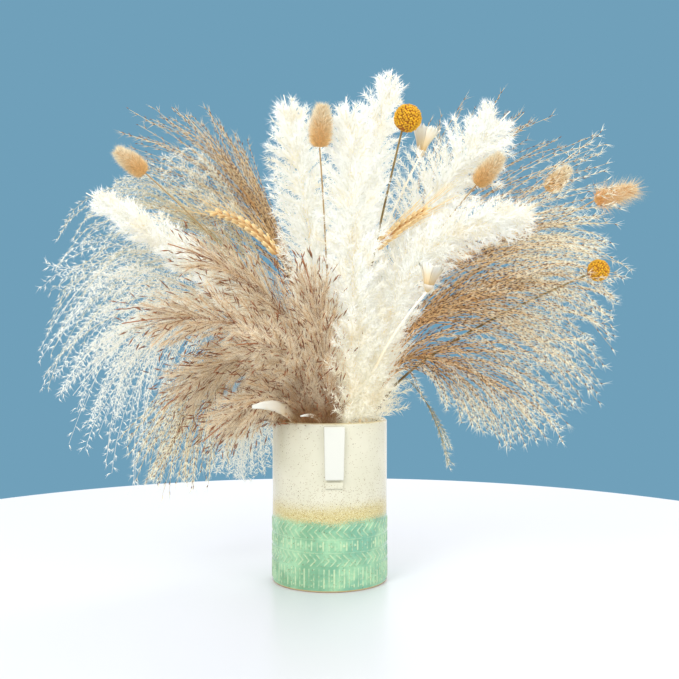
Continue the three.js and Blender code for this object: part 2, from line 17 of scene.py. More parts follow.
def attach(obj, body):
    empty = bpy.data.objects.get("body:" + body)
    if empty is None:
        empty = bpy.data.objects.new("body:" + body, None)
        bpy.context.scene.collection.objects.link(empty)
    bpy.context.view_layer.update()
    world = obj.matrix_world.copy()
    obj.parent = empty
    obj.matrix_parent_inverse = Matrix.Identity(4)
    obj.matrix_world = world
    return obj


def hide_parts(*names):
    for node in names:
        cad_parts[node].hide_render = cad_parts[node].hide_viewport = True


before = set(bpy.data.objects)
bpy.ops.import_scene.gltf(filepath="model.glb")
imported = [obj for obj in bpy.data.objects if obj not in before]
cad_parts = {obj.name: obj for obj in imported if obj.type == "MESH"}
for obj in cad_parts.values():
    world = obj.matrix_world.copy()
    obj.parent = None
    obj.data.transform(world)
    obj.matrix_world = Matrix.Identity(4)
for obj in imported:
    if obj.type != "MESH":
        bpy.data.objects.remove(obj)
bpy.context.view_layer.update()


def table(columns, *rows):
    """A dict for each row, keyed by the columns' names. A row may end in a dict of its own."""
    names = columns.split()
    return [dict(zip(names, row), **dict(*row[len(names):])) for row in rows]


# ---------------- the vase

VASE_RADIUS = 0.060
VASE_GIRTH = 2 * math.pi * VASE_RADIUS
VASE_HEIGHT = 0.168
VASE_WALL = 0.005
VASE_FLOOR = 0.008
VASE_FILLET = 0.005  # between the floor and the inside of the wall
VASE_STEPS = 480
LIP_STEPS = 8
FOOT_BEVEL = 0.0015
FOOT_EASE = 0.0004  # height of the corner within the bevel
LUG_AZIMUTH = math.radians(4.8)  # from the front towards +X
# The lug gets a whiter tint painted on as a highlight, where its flat front catches the light; the tab
# below it gets none.
LUG = dict(wide=0.021, narrow=0.0185, top=0.165, bottom=0.112, proud=0.0045, white=1)
TAB = dict(wide=0.018, narrow=0.018, top=0.110, bottom=0.103, proud=0.0015, white=0)
LUG_SUNK = 0.003
LUG_EDGE = 0.0012

RELIEF_BOTTOM = 0.003
RELIEF_TOP = 0.069
RELIEF_STEP = 0.0009
RELIEF_HEIGHT = 0.0007
RELIEF_EDGE = 0.0006  # width of the slope at either side of a raised line
PLAIN_STEP = 0.016  # between the rings of the wall above the pattern
PLAIN_RINGS = 5
INNER_RINGS = (0.10, 0.05)  # heights of the rings of the wall's inside
# Raised strokes: how many go round, half their width, the heights they lie between, and to which
# side they slant either side of the height of their points.
STROKES = table(
    "name count half low high slant point",
    ("columns", 74, 0.0006, 0.004, 0.0235, 0, 0),
    ("chevrons", 56, 0.0007, 0.0255, 0.0378, 1, 0.0315),
    ("bars", 64, 0.0006, 0.041, 0.051, 0, 0),
    ("arrows", 52, 0.0007, 0.0535, 0.067, -1, 0.060),
)
# Raised dots, in every second gap of a row of strokes: how many strokes the row has, a dot's radius,
# the level of one of the dots, the height from dot to dot, and the heights they lie between.
DOTS = table(
    "name strokes radius level apart low high",
    ("beads", 64, 0.0013, 0.046, 1, 0.041, 0.051),
    ("grains", 74, 0.0008, 0.0065, 0.0055, 0.004, 0.022),
)
HEMS = (0.0392, 0.0525)  # heights of the fine lines round the vase
HEM_HALF = 0.0004
HEM_PROUD = 0.5  # as a share of the other lines' height

# The heights between which one glaze runs into the next, and the specks come and go.
CELADON_TO_SAND = (0.0655, 0.0725)
SAND_TO_CREAM = (0.076, 0.094)
BARE_LIP = (0.1662, 0.1674)
BARE_FOOT = (0.0022, 0.0012)
SPECKS_START = (0.06, 0.072)
SPECKS_END = (0.12, 0.08)
SPECKS = table(
    "scale size share colour",
    (420.0, 0.28, 0.12, (112, 84, 52)),
    (900.0, 0.4, 0.36, (140, 106, 52)),
)

# ---------------- the plants

GAP = 0.0003
GATHER = 0.5  # a stem's foot lies this far out, as a share of its place in the mouth
IN_VASE = 0.15  # share of a stem's rings that lie in the vase
THIN_STEM = 0.001
STOUT_STEM = 0.0014
PLUME_STEM = 0.0016
SPRAY_STEM = 0.0013
GOLDEN_ANGLE = math.pi * (3 - math.sqrt(5))
ODD_AXIS = np.array([0.36, 0.48, 0.8])  # along no stem

# Plumes: the stalk's place in the mouth, the height that it rises before it bends, its tip, the
# head's radius, and how much fuller the loose hairs make it. A pull above 1 draws the arch nearer
# to its bend, and flattened is a head's depth as a share of its width.
PLUME_COLUMNS = "name mouth rise tip radius full"
WHITE_PLUMES = table(
    PLUME_COLUMNS,
    ("white_plume_far_left", (-0.029, 0.013), 0.12, (-0.256, -0.002, 0.405), 0.021, 1.05),
    ("white_plume_left", (-0.007, 0.02), 0.19, (-0.05, 0.025, 0.515), 0.022, 1.6),
    ("white_plume_front", (0.019, -0.038), 0.17, (0.017, -0.057, 0.492), 0.022, 1.6),
    ("white_plume_tall", (0.015, 0.006), 0.19, (0.068, 0.04, 0.547), 0.022, 1.35),
    ("white_plume_right", (0.031, 0.026), 0.19, (0.204, 0.078, 0.51), 0.026, 2.1, dict(flattened=0.45)),
    ("white_plume_arching", (0.038, -0.02), 0.215, (0.212, -0.06, 0.371), 0.025, 1.15, dict(pull=1.2)),
)
# Dry leaves that lie over the rim: where each starts, bends and ends, and its half width.
RIM_LEAVES = [
    ((-0.03, -0.032, 0.152), (-0.037, -0.05, 0.193), (-0.074, -0.084, 0.186), 0.0058),
    ((-0.004, -0.04, 0.155), (-0.008, -0.052, 0.18), (-0.028, -0.07, 0.176), 0.002),
]
BROWN_PLUMES = table(
    PLUME_COLUMNS,
    ("brown_plume_high", (-0.013, -0.001), 0.14, (-0.16, -0.058, 0.346), 0.018, 1.8),
    ("brown_plume_left", (-0.025, -0.016), 0.13, (-0.194, -0.108, 0.266), 0.018, 1.95),
    ("brown_plume_low_left", (-0.044, -0.004), 0.12, (-0.168, -0.05, 0.18), 0.017, 2.0),
    ("brown_plume_upright", (-0.002, -0.044), 0.09, (-0.027, -0.074, 0.335), 0.015, 1.55),
    ("brown_plume_forward", (-0.022, -0.038), 0.09, (-0.082, -0.15, 0.246), 0.016, 1.7),
    ("brown_plume_over_rim", (-0.036, -0.026), 0.058, (-0.122, -0.084, 0.152), 0.015, 1.7,
     dict(leaves=RIM_LEAVES)),
)

# Sprays: the stem ends at its neck, and the racemes end in a fan, given by its first, middle and
# last tips and its depth. The leader and the racemes arch up by lift, as a share of their reach.
# A row's own dict goes before what SPRAY_HABITS and ANY_SPRAY say.
SPRAYS = table(
    "name tone mouth rise neck first middle last lift depth racemes",
    ("spray_upper_left", "russet", (-0.012, 0.042), 0.11, (-0.055, 0.085, 0.35), (-0.236, 0.105, 0.497),
     (-0.171, 0.115, 0.515), (-0.115, 0.105, 0.487), 0.06, 0.024, 120,
     dict(fan=(-0.55, 1.16), shrink=0.85, low=0.75)),
    ("spray_left", "pale", (-0.028, 0.033), 0.08, (-0.085, 0.066, 0.32), (-0.304, 0.062, 0.296),
     (-0.262, 0.078, 0.41), (-0.165, 0.08, 0.452), 0.22, 0.015, 120, dict(fan=(-0.3, 1.1), hang=0.82)),
    ("spray_silver", "silver", (-0.043, 0.02), 0.09, (-0.112, 0.036, 0.29), (-0.3, 0.034, 0.27),
     (-0.28, 0.034, 0.19), (-0.215, 0.022, 0.138), 0.2, 0.013, 125,
     dict(fan=(-0.42, 1.2), scatter=0.009, droop=0.045)),
    ("spray_hanging_left", "tan", (-0.046, 0.008), 0.07, (-0.095, 0.01, 0.232), (-0.205, 0.004, 0.148),
     (-0.18, 0.004, 0.106), (-0.135, 0.004, 0.118), 0.12, 0.013, 80, dict(droop=0.03)),
    ("spray_curly_rim", "silver", (-0.034, 0.04), 0.05, (-0.065, 0.058, 0.215), (-0.135, 0.052, 0.12),
     (-0.105, 0.062, 0.095), (-0.07, 0.078, 0.108), 0.12, 0.015, 60),
    ("spray_upper_right", "russet", (0.016, 0.044), 0.11, (0.088, 0.112, 0.352), (0.14, 0.128, 0.52),
     (0.231, 0.136, 0.522), (0.3, 0.124, 0.47), 0.08, 0.022, 44),
    ("spray_right", "tan", (0.038, 0.022), 0.08, (0.11, 0.05, 0.32), (0.306, 0.062, 0.45),
     (0.307, 0.054, 0.38), (0.29, 0.05, 0.345), 0.1, 0.013, 84),
    ("spray_lower_right", "tan", (0.045, 0.01), 0.06, (0.092, 0.014, 0.265), (0.284, 0.012, 0.338),
     (0.3, 0.012, 0.3), (0.29, 0.012, 0.245), 0.16, 0.022, 125, dict(fan=(-0.16, 1.4), forward=0.18)),
    ("spray_hanging_right", "tan", (0.046, -0.001), 0.05, (0.085, 0.002, 0.232), (0.262, 0.0, 0.2),
     (0.225, -0.004, 0.15), (0.165, -0.004, 0.155), 0.14, 0.014, 84,
     dict(fan=(-0.45, 1.25), forward=0.16)),
    ("spray_thin_right", "green", (0.038, 0.034), 0.04, (0.075, 0.046, 0.215), (0.1, 0.05, 0.16),
     (0.131, 0.042, 0.116), (0.152, 0.038, 0.16), 0.1, 0.006, 3,
     dict(fan=(0.5, 0.56), scatter=0.0015, leader=0.0006)),
)

# Heads: the stem ends at the base, and the head reaches from there to its tip.
HEAD_COLUMNS = "name mouth rise base tip radius"
BUNNY_TAILS = table(
    HEAD_COLUMNS,
    ("bunny_tail_left", (-0.02, 0.03), 0.11, (-0.203, 0.044, 0.434), (-0.238, 0.044, 0.461), 0.0105),
    ("bunny_tail_middle", (0.0, -0.02), 0.15, (-0.009, -0.08, 0.437), (-0.006, -0.082, 0.481), 0.0105),
    ("bunny_tail_right", (0.026, 0.012), 0.11, (0.16, 0.04, 0.42), (0.19, 0.038, 0.455), 0.0105),
    ("bunny_tail_back", (0.022, 0.038), 0.11, (0.262, 0.152, 0.432), (0.292, 0.156, 0.462), 0.01),
)
FOXTAILS = table(
    HEAD_COLUMNS,
    ("foxtail", (0.031, 0.037), 0.11, (0.302, 0.088, 0.41), (0.354, 0.092, 0.425), 0.013),
)
BILLY_BUTTONS = table(
    HEAD_COLUMNS,
    ("billy_button_large", (0.02, -0.012), 0.1, (0.074, -0.03, 0.464), (0.086, -0.03, 0.49), 0.014),
    ("billy_button_small", (0.048, -0.01), 0.06, (0.262, -0.038, 0.317), (0.283, -0.038, 0.325), 0.011),
)
PAPER_FLOWERS = table(
    HEAD_COLUMNS,
    ("paper_flower_back", (0.006, 0.032), 0.11, (0.1, 0.066, 0.455), (0.108, 0.066, 0.49), 0.016),
    ("paper_flower_front", (0.031, -0.033), 0.06, (0.095, -0.084, 0.298), (0.1, -0.088, 0.324), 0.013),
)
WHEAT_EARS = table(
    "name mouth rise base tip bow",
    ("wheat_left", (-0.012, 0.032), 0.11, (-0.058, 0.046, 0.345), (-0.138, 0.046, 0.393), 0.011),
    ("wheat_right", (0.027, -0.001), 0.11, (0.043, -0.009, 0.348), (0.106, -0.01, 0.389), -0.002),
)

# How each kind of plume grows. Branchlets leave the stalk some way below the ring that they end at,
# and hairs and spikelets stand off the branchlets, the hairs up to a last share of the arch. The
# finishes are those of the stalk and the hairs.
WHITE_HABIT = dict(branchlets=460, branchlet=0.00026, lead=(0.016, 0.034), hairs=15500, hair=0.0105,
                   hair_radius=0.00036, stand_off=(0.2, 1.2), haired=1.0, spikelets=0, flattened=1,
                   leaves=(), finishes=("bleached_stalk", "bleached_hair"), slot="bleached_plume")
BROWN_HABIT = dict(branchlets=170, branchlet=0.0004, lead=(0.034, 0.064), hairs=9200, hair=0.0115,
                   hair_radius=0.00015, stand_off=(0.2, 1.0), haired=0.93, spikelets=2, flattened=1,
                   leaves=(), finishes=("brown_twig", "silky_brown_hair"), slot="natural_plume")

# How any spray grows, unless its kind or its own row says otherwise.
ANY_SPRAY = dict(
    fan=(-0.16, 1.16),  # shares of the fan where its tips begin and end: they pass those given
    low=0.4,  # share of the racemes that leave the stem below its neck
    leader=0.0014,  # radius of the leader at its root
    shrink=0,  # how much shorter the racemes are that lie before the first tip
    scatter=0.005,  # how far the tips stray from the fan
    droop=0,  # how far the tips sink
    forward=0,  # how far the racemes bow to the front
    hang=0.5,  # share of a raceme's reach where it bends: the further out, the more it hangs
    curl=0,  # how far a spikelet bends, as a share of its length
    raceme_radius=0.0004,
    silk=4,  # hairs in a tuft of silk, at a spikelet's foot
)
# How each kind of spray grows: the spikelets along every raceme, with their lean from it, and the
# silk, with how many spikelets have a tuft. The finishes are those of racemes, spikelets and silk.
TAN_HABIT = dict(raceme_radius=0.00042, spikelets=26, spikelet=0.005, spikelet_radius=0.0006,
                 lean=(0.2, 0.45), silky=1.4, silk_length=0.0086, silk_radius=0.00023,
                 finishes=("tan_raceme", "tan_spikelet", "pale_silk"), slot="tan_grass")
SPRAY_HABITS = {
    "tan": TAN_HABIT,
    "russet": dict(TAN_HABIT, spikelets=28, silk=3, silky=0.65, silk_radius=0.0002,
                   finishes=("tan_raceme", "tan_spikelet", "russet_silk")),
    "pale": dict(spikelets=36, spikelet=0.0046, spikelet_radius=0.00045, lean=(0.4, 0.8), curl=0.1,
                 hang=0.6, silky=1.8, silk_length=0.0052, silk_radius=0.0002,
                 finishes=("pale_raceme", "pale_raceme", "silver_silk"), slot="tan_grass"),
    "silver": dict(spikelets=34, spikelet=0.0062, spikelet_radius=0.0003, lean=(0.6, 1.2), curl=0.3,
                   hang=0.78, silky=2, silk_length=0.0054, silk_radius=0.00022,
                   finishes=("silver_raceme", "silver_silk", "silver_silk"), slot="silver_grass"),
    "green": dict(spikelets=40, spikelet=0.005, spikelet_radius=0.0004, lean=(0.4, 0.8), hang=0.6,
                  silk=5, silky=1.5, silk_length=0.005, silk_radius=0.00018,
                  finishes=("green_raceme", "green_raceme", "pale_silk"), slot="green_grass"),
}

PLUME_NECK = 0.9  # width of a plume's head at its neck, as a share of its full width
PLUME_WIDEST = 0.35  # shares of the arch where the head is at its widest and where it tapers
PLUME_TAPER_START = 0.7
PLUME_FOOT = 0.04  # share of the arch where the lowest branchlets end
PLUME_SUNK = -0.08  # and where they leave the stalk, just inside the mouth
SHEATHS = 26  # long blades that wrap the foot of each plume
SHEATH_RADIUS = 0.0007
RUST_LENGTH = (0.008, 0.0145)  # of a plume's spikelets
RUST_RADIUS = (0.0006, 0.001)

LEADER_SEAT = 0.98  # share of a spray's arch where its leader starts
LEADER_BARE = 0.04  # share of the leader below its first fork
LEADER_FORKED = 0.5  # share of the leader with forks
RACEME_FOLLOW = 0.3  # how far a raceme follows the leader before it bends away
LOW_FOLLOW = 0.9  # the same for one that leaves the stem below the neck
RACEME_LIFT = (0.1, 2.2)
FAN_DEPTH = 2.4
FAN_BACK = 0.018  # how far a tip may lie behind its fan

# The coats of the furry heads: hairs, length, radius, and lean from the axis at base and at tip.
BUNNY_COATS = [(3800, 0.0062, 0.00022, 1.35, 0.65), (500, 0.0085, 0.00016, 1.5, 0.7)]
FOXTAIL_COATS = [(2200, 0.0075, 0.00022, 1.1, 0.5), (520, 0.019, 0.00022, 1.2, 0.55)]
BUNNY_CORE = 0.7  # radius under the fur, as a share of the head's
FOXTAIL_CORE = 0.5
EGG_SKEW = 0.8  # below 1, an egg is widest nearer its base

BILLY_FLORETS = 430  # on the first of the billy buttons, and fewer on a smaller one
BILLY_CORE = 0.93

EAR_ROWS = 20
EAR_SEAT = 0.97  # share of a wheat stem's arch where its ear starts
EAR_AXIS_RADIUS = 0.001
GRAIN_LENGTH = 0.0145
GRAIN_RADIUS = 0.0017
GRAIN_SEAT = 0.0008  # how far off the ear's axis a grain starts
GRAIN_BULGE = 0.0018
AWN_LENGTH = (0.036, 0.05)
AWN_RADIUS = 0.00022

PETAL_ROOT = 0.2  # share of the flower's height where the petals start
PETAL_SEAT = 0.0042  # distance of their roots from its axis
PETAL_FLARE = 1.3
PETAL_THICKNESS = 0.0005
PETAL_RIPPLE = 0.0006
WHORLS = table(
    "petals turn opening height cover",
    (6, 0, 1.0, 1.0, 1.15),
    (6, 0.5, 0.82, 0.94, 1.1),
    (5, 0.2, 0.62, 0.82, 0.97),
)
CALYX = ((0, 0.0012), (0.5, 0.0048), (0.9, 0.005), (1, 0.003))  # heights and radii
CALYX_SPAN = (-0.06, 0.32)  # shares of the flower's height, as the next
CENTRE_LEVEL = 0.32
CENTRE_FLORETS = 70
CENTRE_RADIUS = 0.0032
CENTRE_HEIGHT = 0.0075
CENTRE_BUD = 0.0005

# ---------------- the fibres

# Colours at a fibre's root and tip, low in the plant and in patches. The low colour is partly the
# plant's own darker base and partly painted shade where the strands crowd near the mouth. A fibre
# may also have its own reach of the low colour up the plant, variation from strand to strand, amount
# and scale of the patches, roughness and glow, which is painted light.
FIBRES = table(
    "name root tip deep patch",
    ("bleached_hair", (244, 244, 232), (253, 255, 254), (244, 240, 220), (242, 226, 190),
     dict(reach=0.45, variation=0.08, patches=0.4, scale=44, glow=0.25)),
    ("bleached_stalk", (232, 208, 160), (248, 240, 222), (226, 196, 140), (240, 218, 176),
     dict(variation=0.15)),
    ("silky_brown_hair", (218, 184, 132), (255, 250, 230), (160, 120, 76), (252, 240, 212),
     dict(reach=0.38, variation=0.5, patches=0.55, scale=30, glow=0.36)),
    ("brown_twig", (158, 100, 56), (176, 112, 66), (96, 60, 30), (168, 96, 60),
     dict(variation=0.4, glow=0.1)),
    ("rust_spikelet", (112, 64, 32), (176, 118, 72), (84, 48, 26), (158, 84, 56),
     dict(variation=0.4, glow=0.06)),
    ("tan_raceme", (212, 160, 98), (234, 214, 166), (176, 110, 52), (196, 146, 86),
     dict(variation=0.3, glow=0.22)),
    ("tan_spikelet", (104, 60, 30), (164, 116, 72), (78, 44, 20), (138, 84, 48),
     dict(reach=0.8, variation=0.4, patches=0.4, glow=0.04)),
    ("pale_silk", (242, 236, 206), (253, 254, 242), (210, 172, 112), (236, 222, 184),
     dict(reach=0.85, variation=0.2, glow=0.34)),
    ("russet_silk", (222, 198, 154), (242, 230, 198), (196, 150, 96), (212, 180, 132),
     dict(reach=0.85, variation=0.3)),
    ("pale_raceme", (186, 170, 128), (222, 220, 196), (172, 140, 92), (200, 180, 140),
     dict(variation=0.3)),
    ("silver_raceme", (206, 192, 162), (238, 240, 234), (190, 160, 118), (214, 206, 184),
     dict(variation=0.15)),
    ("silver_silk", (238, 239, 228), (254, 254, 248), (230, 222, 196), (238, 234, 216),
     dict(variation=0.14)),
    ("green_raceme", (128, 118, 84), (176, 172, 138), (112, 98, 62), (104, 88, 60),
     dict(variation=0.4)),
    ("bunny_tail_hair", (230, 198, 138), (254, 248, 222), (240, 198, 132), (228, 176, 100),
     dict(reach=0.8, variation=0.45, scale=150, glow=0.24)),
    # The core under the fur is darker than the hairs: painted shade in the gaps between them.
    ("bunny_tail_core", (222, 174, 108), (226, 180, 112), (218, 166, 100), (220, 168, 100),
     dict(reach=0.6, glow=0.15)),
    ("foxtail_bristle", (226, 170, 98), (240, 236, 204), (230, 172, 100), (226, 180, 112),
     dict(variation=0.25, glow=0.24)),
    ("straw", (152, 120, 72), (178, 148, 98), (136, 106, 60), (164, 136, 84),
     dict(roughness=0.5, scale=120, glow=0.08)),
    ("olive_stem", (116, 96, 46), (136, 114, 58), (96, 74, 36), (88, 62, 30),
     dict(roughness=0.55, patches=0.6, scale=90, glow=0.06)),
    ("billy_floret", (160, 96, 6), (228, 172, 22), (206, 122, 10), (234, 192, 50),
     dict(variation=0.35, scale=160, glow=0.18)),
    # The core under the florets is a flat dark orange: painted shade in the gaps between them.
    ("billy_core", (150, 84, 10), (150, 84, 10), (150, 84, 10), (120, 70, 12)),
    # The husk's darker root is partly painted shade between the grains, and its near-white tip partly a
    # painted highlight.
    ("wheat_husk", (184, 118, 44), (253, 234, 178), (192, 128, 60), (236, 194, 116),
     dict(variation=0.2, roughness=0.4, scale=90, glow=0.24)),
    ("wheat_awn", (222, 186, 122), (242, 222, 176), (222, 186, 122), (232, 204, 150),
     dict(roughness=0.5)),
    ("paper_petal", (214, 176, 108), (248, 248, 236), (226, 190, 126), (238, 218, 166),
     dict(variation=0.35, roughness=0.4, patches=0.4, scale=110, glow=0.06)),
    ("golden_floret", (190, 118, 30), (232, 180, 84), (206, 140, 52), (214, 160, 70),
     dict(variation=0.3)),
)

# ---------------- the studio

FLOOR_RADIUS = 0.72
CAMERA_LENS = 50.37
CAMERA_PLACE = (0.0103, -1.0, 0.251)
# The lights: their names, places, sizes and powers.
LIGHTS = [
    ("key_light", (-0.9, -1.5, 1.5), 0.9, 20),
    ("fill_light", (1.3, -1.1, 0.9), 1.2, 9),
    ("back_light", (0.4, 1.4, 1.5), 1.0, 12),
]
LIGHTS_AIM = (0, 0, 0.28)

# ---------------- numbers and axes


def unit(vectors):
    return vectors / np.maximum(np.linalg.norm(vectors, axis=-1, keepdims=True), 1e-12)


def seeded(name):
    return np.random.default_rng(zlib.crc32(name.encode()))


def smooth_step(low, high, value):
    share = np.clip((value - low) / (high - low), 0, 1)
    return share * share * (3 - 2 * share)


def through(first, middle, last, share):
    """Points at shares of the curve that passes through the three given points."""
    share = share[:, None]
    return (np.array(first) * (1 - share) * (1 - 2 * share)
            + np.array(middle) * 4 * share * (1 - share)
            + np.array(last) * share * (2 * share - 1))


class Stem:
    """A stem that stands on the vase floor, runs straight to the mouth and arches to its top."""

    def __init__(self, spec, top):
        x, y = spec["mouth"]
        self.start = np.array([x, y, VASE_HEIGHT])
        self.foot = np.array([x * GATHER, y * GATHER, VASE_FLOOR + 3 * GAP])
        self.up = unit(self.start - self.foot)
        self.bend = self.start + self.up * spec["rise"]
        self.top = np.array(top)
        self.pull = spec.get("pull", 1)
        self.side = unit(np.cross(self.bend - self.start, self.top - self.start))
        self.steps = np.linspace(0, 1, 81)
        reached = np.linalg.norm(np.diff(self.at(self.steps), axis=0), axis=1).cumsum()
        self.length = reached[-1]
        self.shares = np.append(0, reached) / self.length

    def at(self, t):
        t = np.asarray(t)[:, None]
        weights = (1 - t) ** 2, 2 * self.pull * t * (1 - t), t * t
        points = self.start * weights[0] + self.bend * weights[1] + self.top * weights[2]
        return points / sum(weights)

    def frames(self, share):
        """Centres and axes at shares of the arch's length; from -1 to 0 lies inside the vase."""
        share = np.atleast_1d(share)
        t = np.interp(share, self.shares, self.steps)
        inside = share[:, None] < 0
        centre = np.where(inside, self.start + (self.start - self.foot) * share[:, None], self.at(t))
        along = unit(self.at(t + 1e-3) - self.at(t - 1e-3))
        along = np.where(inside, self.up, along)
        side = np.broadcast_to(self.side, along.shape)
        return centre, along, np.cross(side, along), side


class Head:
    """The axis of a flower head, from its base to its tip, with its middle bowed to one side."""

    def __init__(self, base, tip, bow=0.0):
        self.base, self.tip, self.bow = np.array(base, float), np.array(tip, float), bow
        self.along = unit(self.tip - self.base)
        self.side = unit(np.array([0, 1, 0]) - self.along * self.along[1])
        self.across = np.cross(self.side, self.along)
        self.middle = (self.base + self.tip) / 2 + self.across * 2 * bow

    def frames(self, share):
        share = np.atleast_1d(share)[:, None]
        bowed = self.across * self.bow * 4
        centre = self.base + (self.tip - self.base) * share + bowed * share * (1 - share)
        along = unit(self.tip - self.base + bowed * (1 - 2 * share))
        side = np.broadcast_to(self.side, along.shape)
        return centre, along, np.cross(side, along), side


def outwards(frames, turn):
    """Directions square to the axis at the given turns round it."""
    turn = np.asarray(turn)[:, None]
    return frames[2] * np.cos(turn) + frames[3] * np.sin(turn)


def arch_at(start, bend, end, t):
    """Points and directions at t on the arch that leaves its start towards bend for its end."""
    points = (1 - t) ** 2 * start + 2 * t * (1 - t) * bend + t * t * end
    return points, unit((1 - t) * (bend - start) + t * (end - bend))


def fanned(random, axis, low, high):
    """Directions that stand off each axis by a random angle between low and high."""
    angle = random.uniform(low, high, len(axis))[:, None]
    around = unit(np.cross(axis, random.normal(size=axis.shape)))
    return axis * np.cos(angle) + around * np.sin(angle)


# ---------------- small closed forms


class Form:
    """The corners and faces of a small closed shape from 0 to 1 along Z, to be placed many times."""

    def __init__(self, mesh):
        mesh.verts.index_update()
        self.corners = np.array([corner.co for corner in mesh.verts])
        self.corner_of = np.array([corner.index for face in mesh.faces for corner in face.verts])
        self.sizes = np.array([len(face.verts) for face in mesh.faces])
        mesh.free()
        self.height = np.clip(self.corners[:, 2], 0, 1)
        self.turn = np.arctan2(self.corners[:, 1], self.corners[:, 0])
        self.off_axis = (np.hypot(self.corners[:, 0], self.corners[:, 1]) > 1e-6).astype(float)

    def tapered(self, radius, root, loss=1.0):
        """A radius for each corner: root times the one given at Z = 0, and less by loss at Z = 1."""
        return radius * (root - loss * self.height)[None]


def spike(sides):
    """A closed spike of unit radius at its root."""
    mesh = bmesh.new()
    bmesh.ops.create_cone(mesh, cap_ends=True, segments=sides, radius1=1, radius2=0, depth=1)
    bmesh.ops.translate(mesh, verts=mesh.verts, vec=(0, 0, 0.5))
    bmesh.ops.remove_doubles(mesh, verts=mesh.verts, dist=1e-6)
    return Form(mesh)


def spindle(sides, rings):
    """A closed spindle of unit radius at its middle."""
    mesh = bmesh.new()
    bmesh.ops.create_uvsphere(mesh, u_segments=sides, v_segments=rings + 1, radius=1)
    bmesh.ops.translate(mesh, verts=mesh.verts, vec=(0, 0, 1))
    bmesh.ops.scale(mesh, verts=mesh.verts, vec=(1, 1, 0.5))
    return Form(mesh)


def rod(sides, rings):
    """A closed rod of unit radius."""
    mesh = bmesh.new()
    bmesh.ops.create_cone(mesh, cap_ends=True, segments=sides, radius1=1, radius2=1, depth=1)
    bmesh.ops.translate(mesh, verts=mesh.verts, vec=(0, 0, 0.5))
    upright = [edge for edge in mesh.edges if edge.verts[0].co.z != edge.verts[1].co.z]
    bmesh.ops.subdivide_edges(mesh, edges=upright, cuts=rings - 2)
    return Form(mesh)


def blade(columns, rows, thickness):
    """A closed sheet: X runs from -1 to 1 across it, Z from 0 to 1 along it, and Y through its
    thickness."""
    mesh = bmesh.new()
    bmesh.ops.create_grid(mesh, x_segments=columns, y_segments=rows, size=1)
    bmesh.ops.rotate(mesh, verts=mesh.verts, matrix=Matrix.Rotation(math.pi / 2, 3, "X"))
    bmesh.ops.translate(mesh, verts=mesh.verts, vec=(0, 0, 1))
    bmesh.ops.scale(mesh, verts=mesh.verts, vec=(1, 1, 0.5))
    bmesh.ops.solidify(mesh, geom=mesh.faces, thickness=thickness)
    bmesh.ops.recalc_face_normals(mesh, faces=mesh.faces)
    return Form(mesh)


HAIR = spike(3)
AWN = spindle(3, 4)
SPIKELET = spindle(3, 1)
HUSK = spindle(6, 4)
BUD = spindle(6, 3)
EGG = spindle(16, 11)
TWIG = rod(3, 9)
BRANCHLET = rod(3, 5)
STEM = rod(8, 40)
PETAL = blade(6, 9, 1)
LEAF = blade(4, 8, 0.12)


def bent(form, start, bend, end, radius):
    """Copies of a form, each bent along the arch that leaves its start towards bend for its end. The
    radius is one for all, one for each copy, or a row with one for each corner."""
    start, bend, end = (np.atleast_2d(point)[:, None, :] for point in (start, bend, end))
    centre, along = arch_at(start, bend, end, form.height[None, :, None])
    side = np.cross(bend - start, end - start)
    straight = np.linalg.norm(side, axis=-1, keepdims=True) < 1e-9
    side = unit(np.where(straight, np.cross(end - start, ODD_AXIS), side))
    across = np.cross(side, along)
    radius = np.asarray(radius, float)
    if radius.ndim == 1:
        radius = radius[:, None]
    offset = across * form.corners[:, 0:1] + side * form.corners[:, 1:2]
    return centre + offset * radius[..., None]


def turned(form, frames, radius):
    """One copy of a form round an axis, with a radius for each of its corners."""
    return (frames[0] + outwards(frames, form.turn) * (radius * form.off_axis)[:, None])[None]


# ---------------- growing a piece


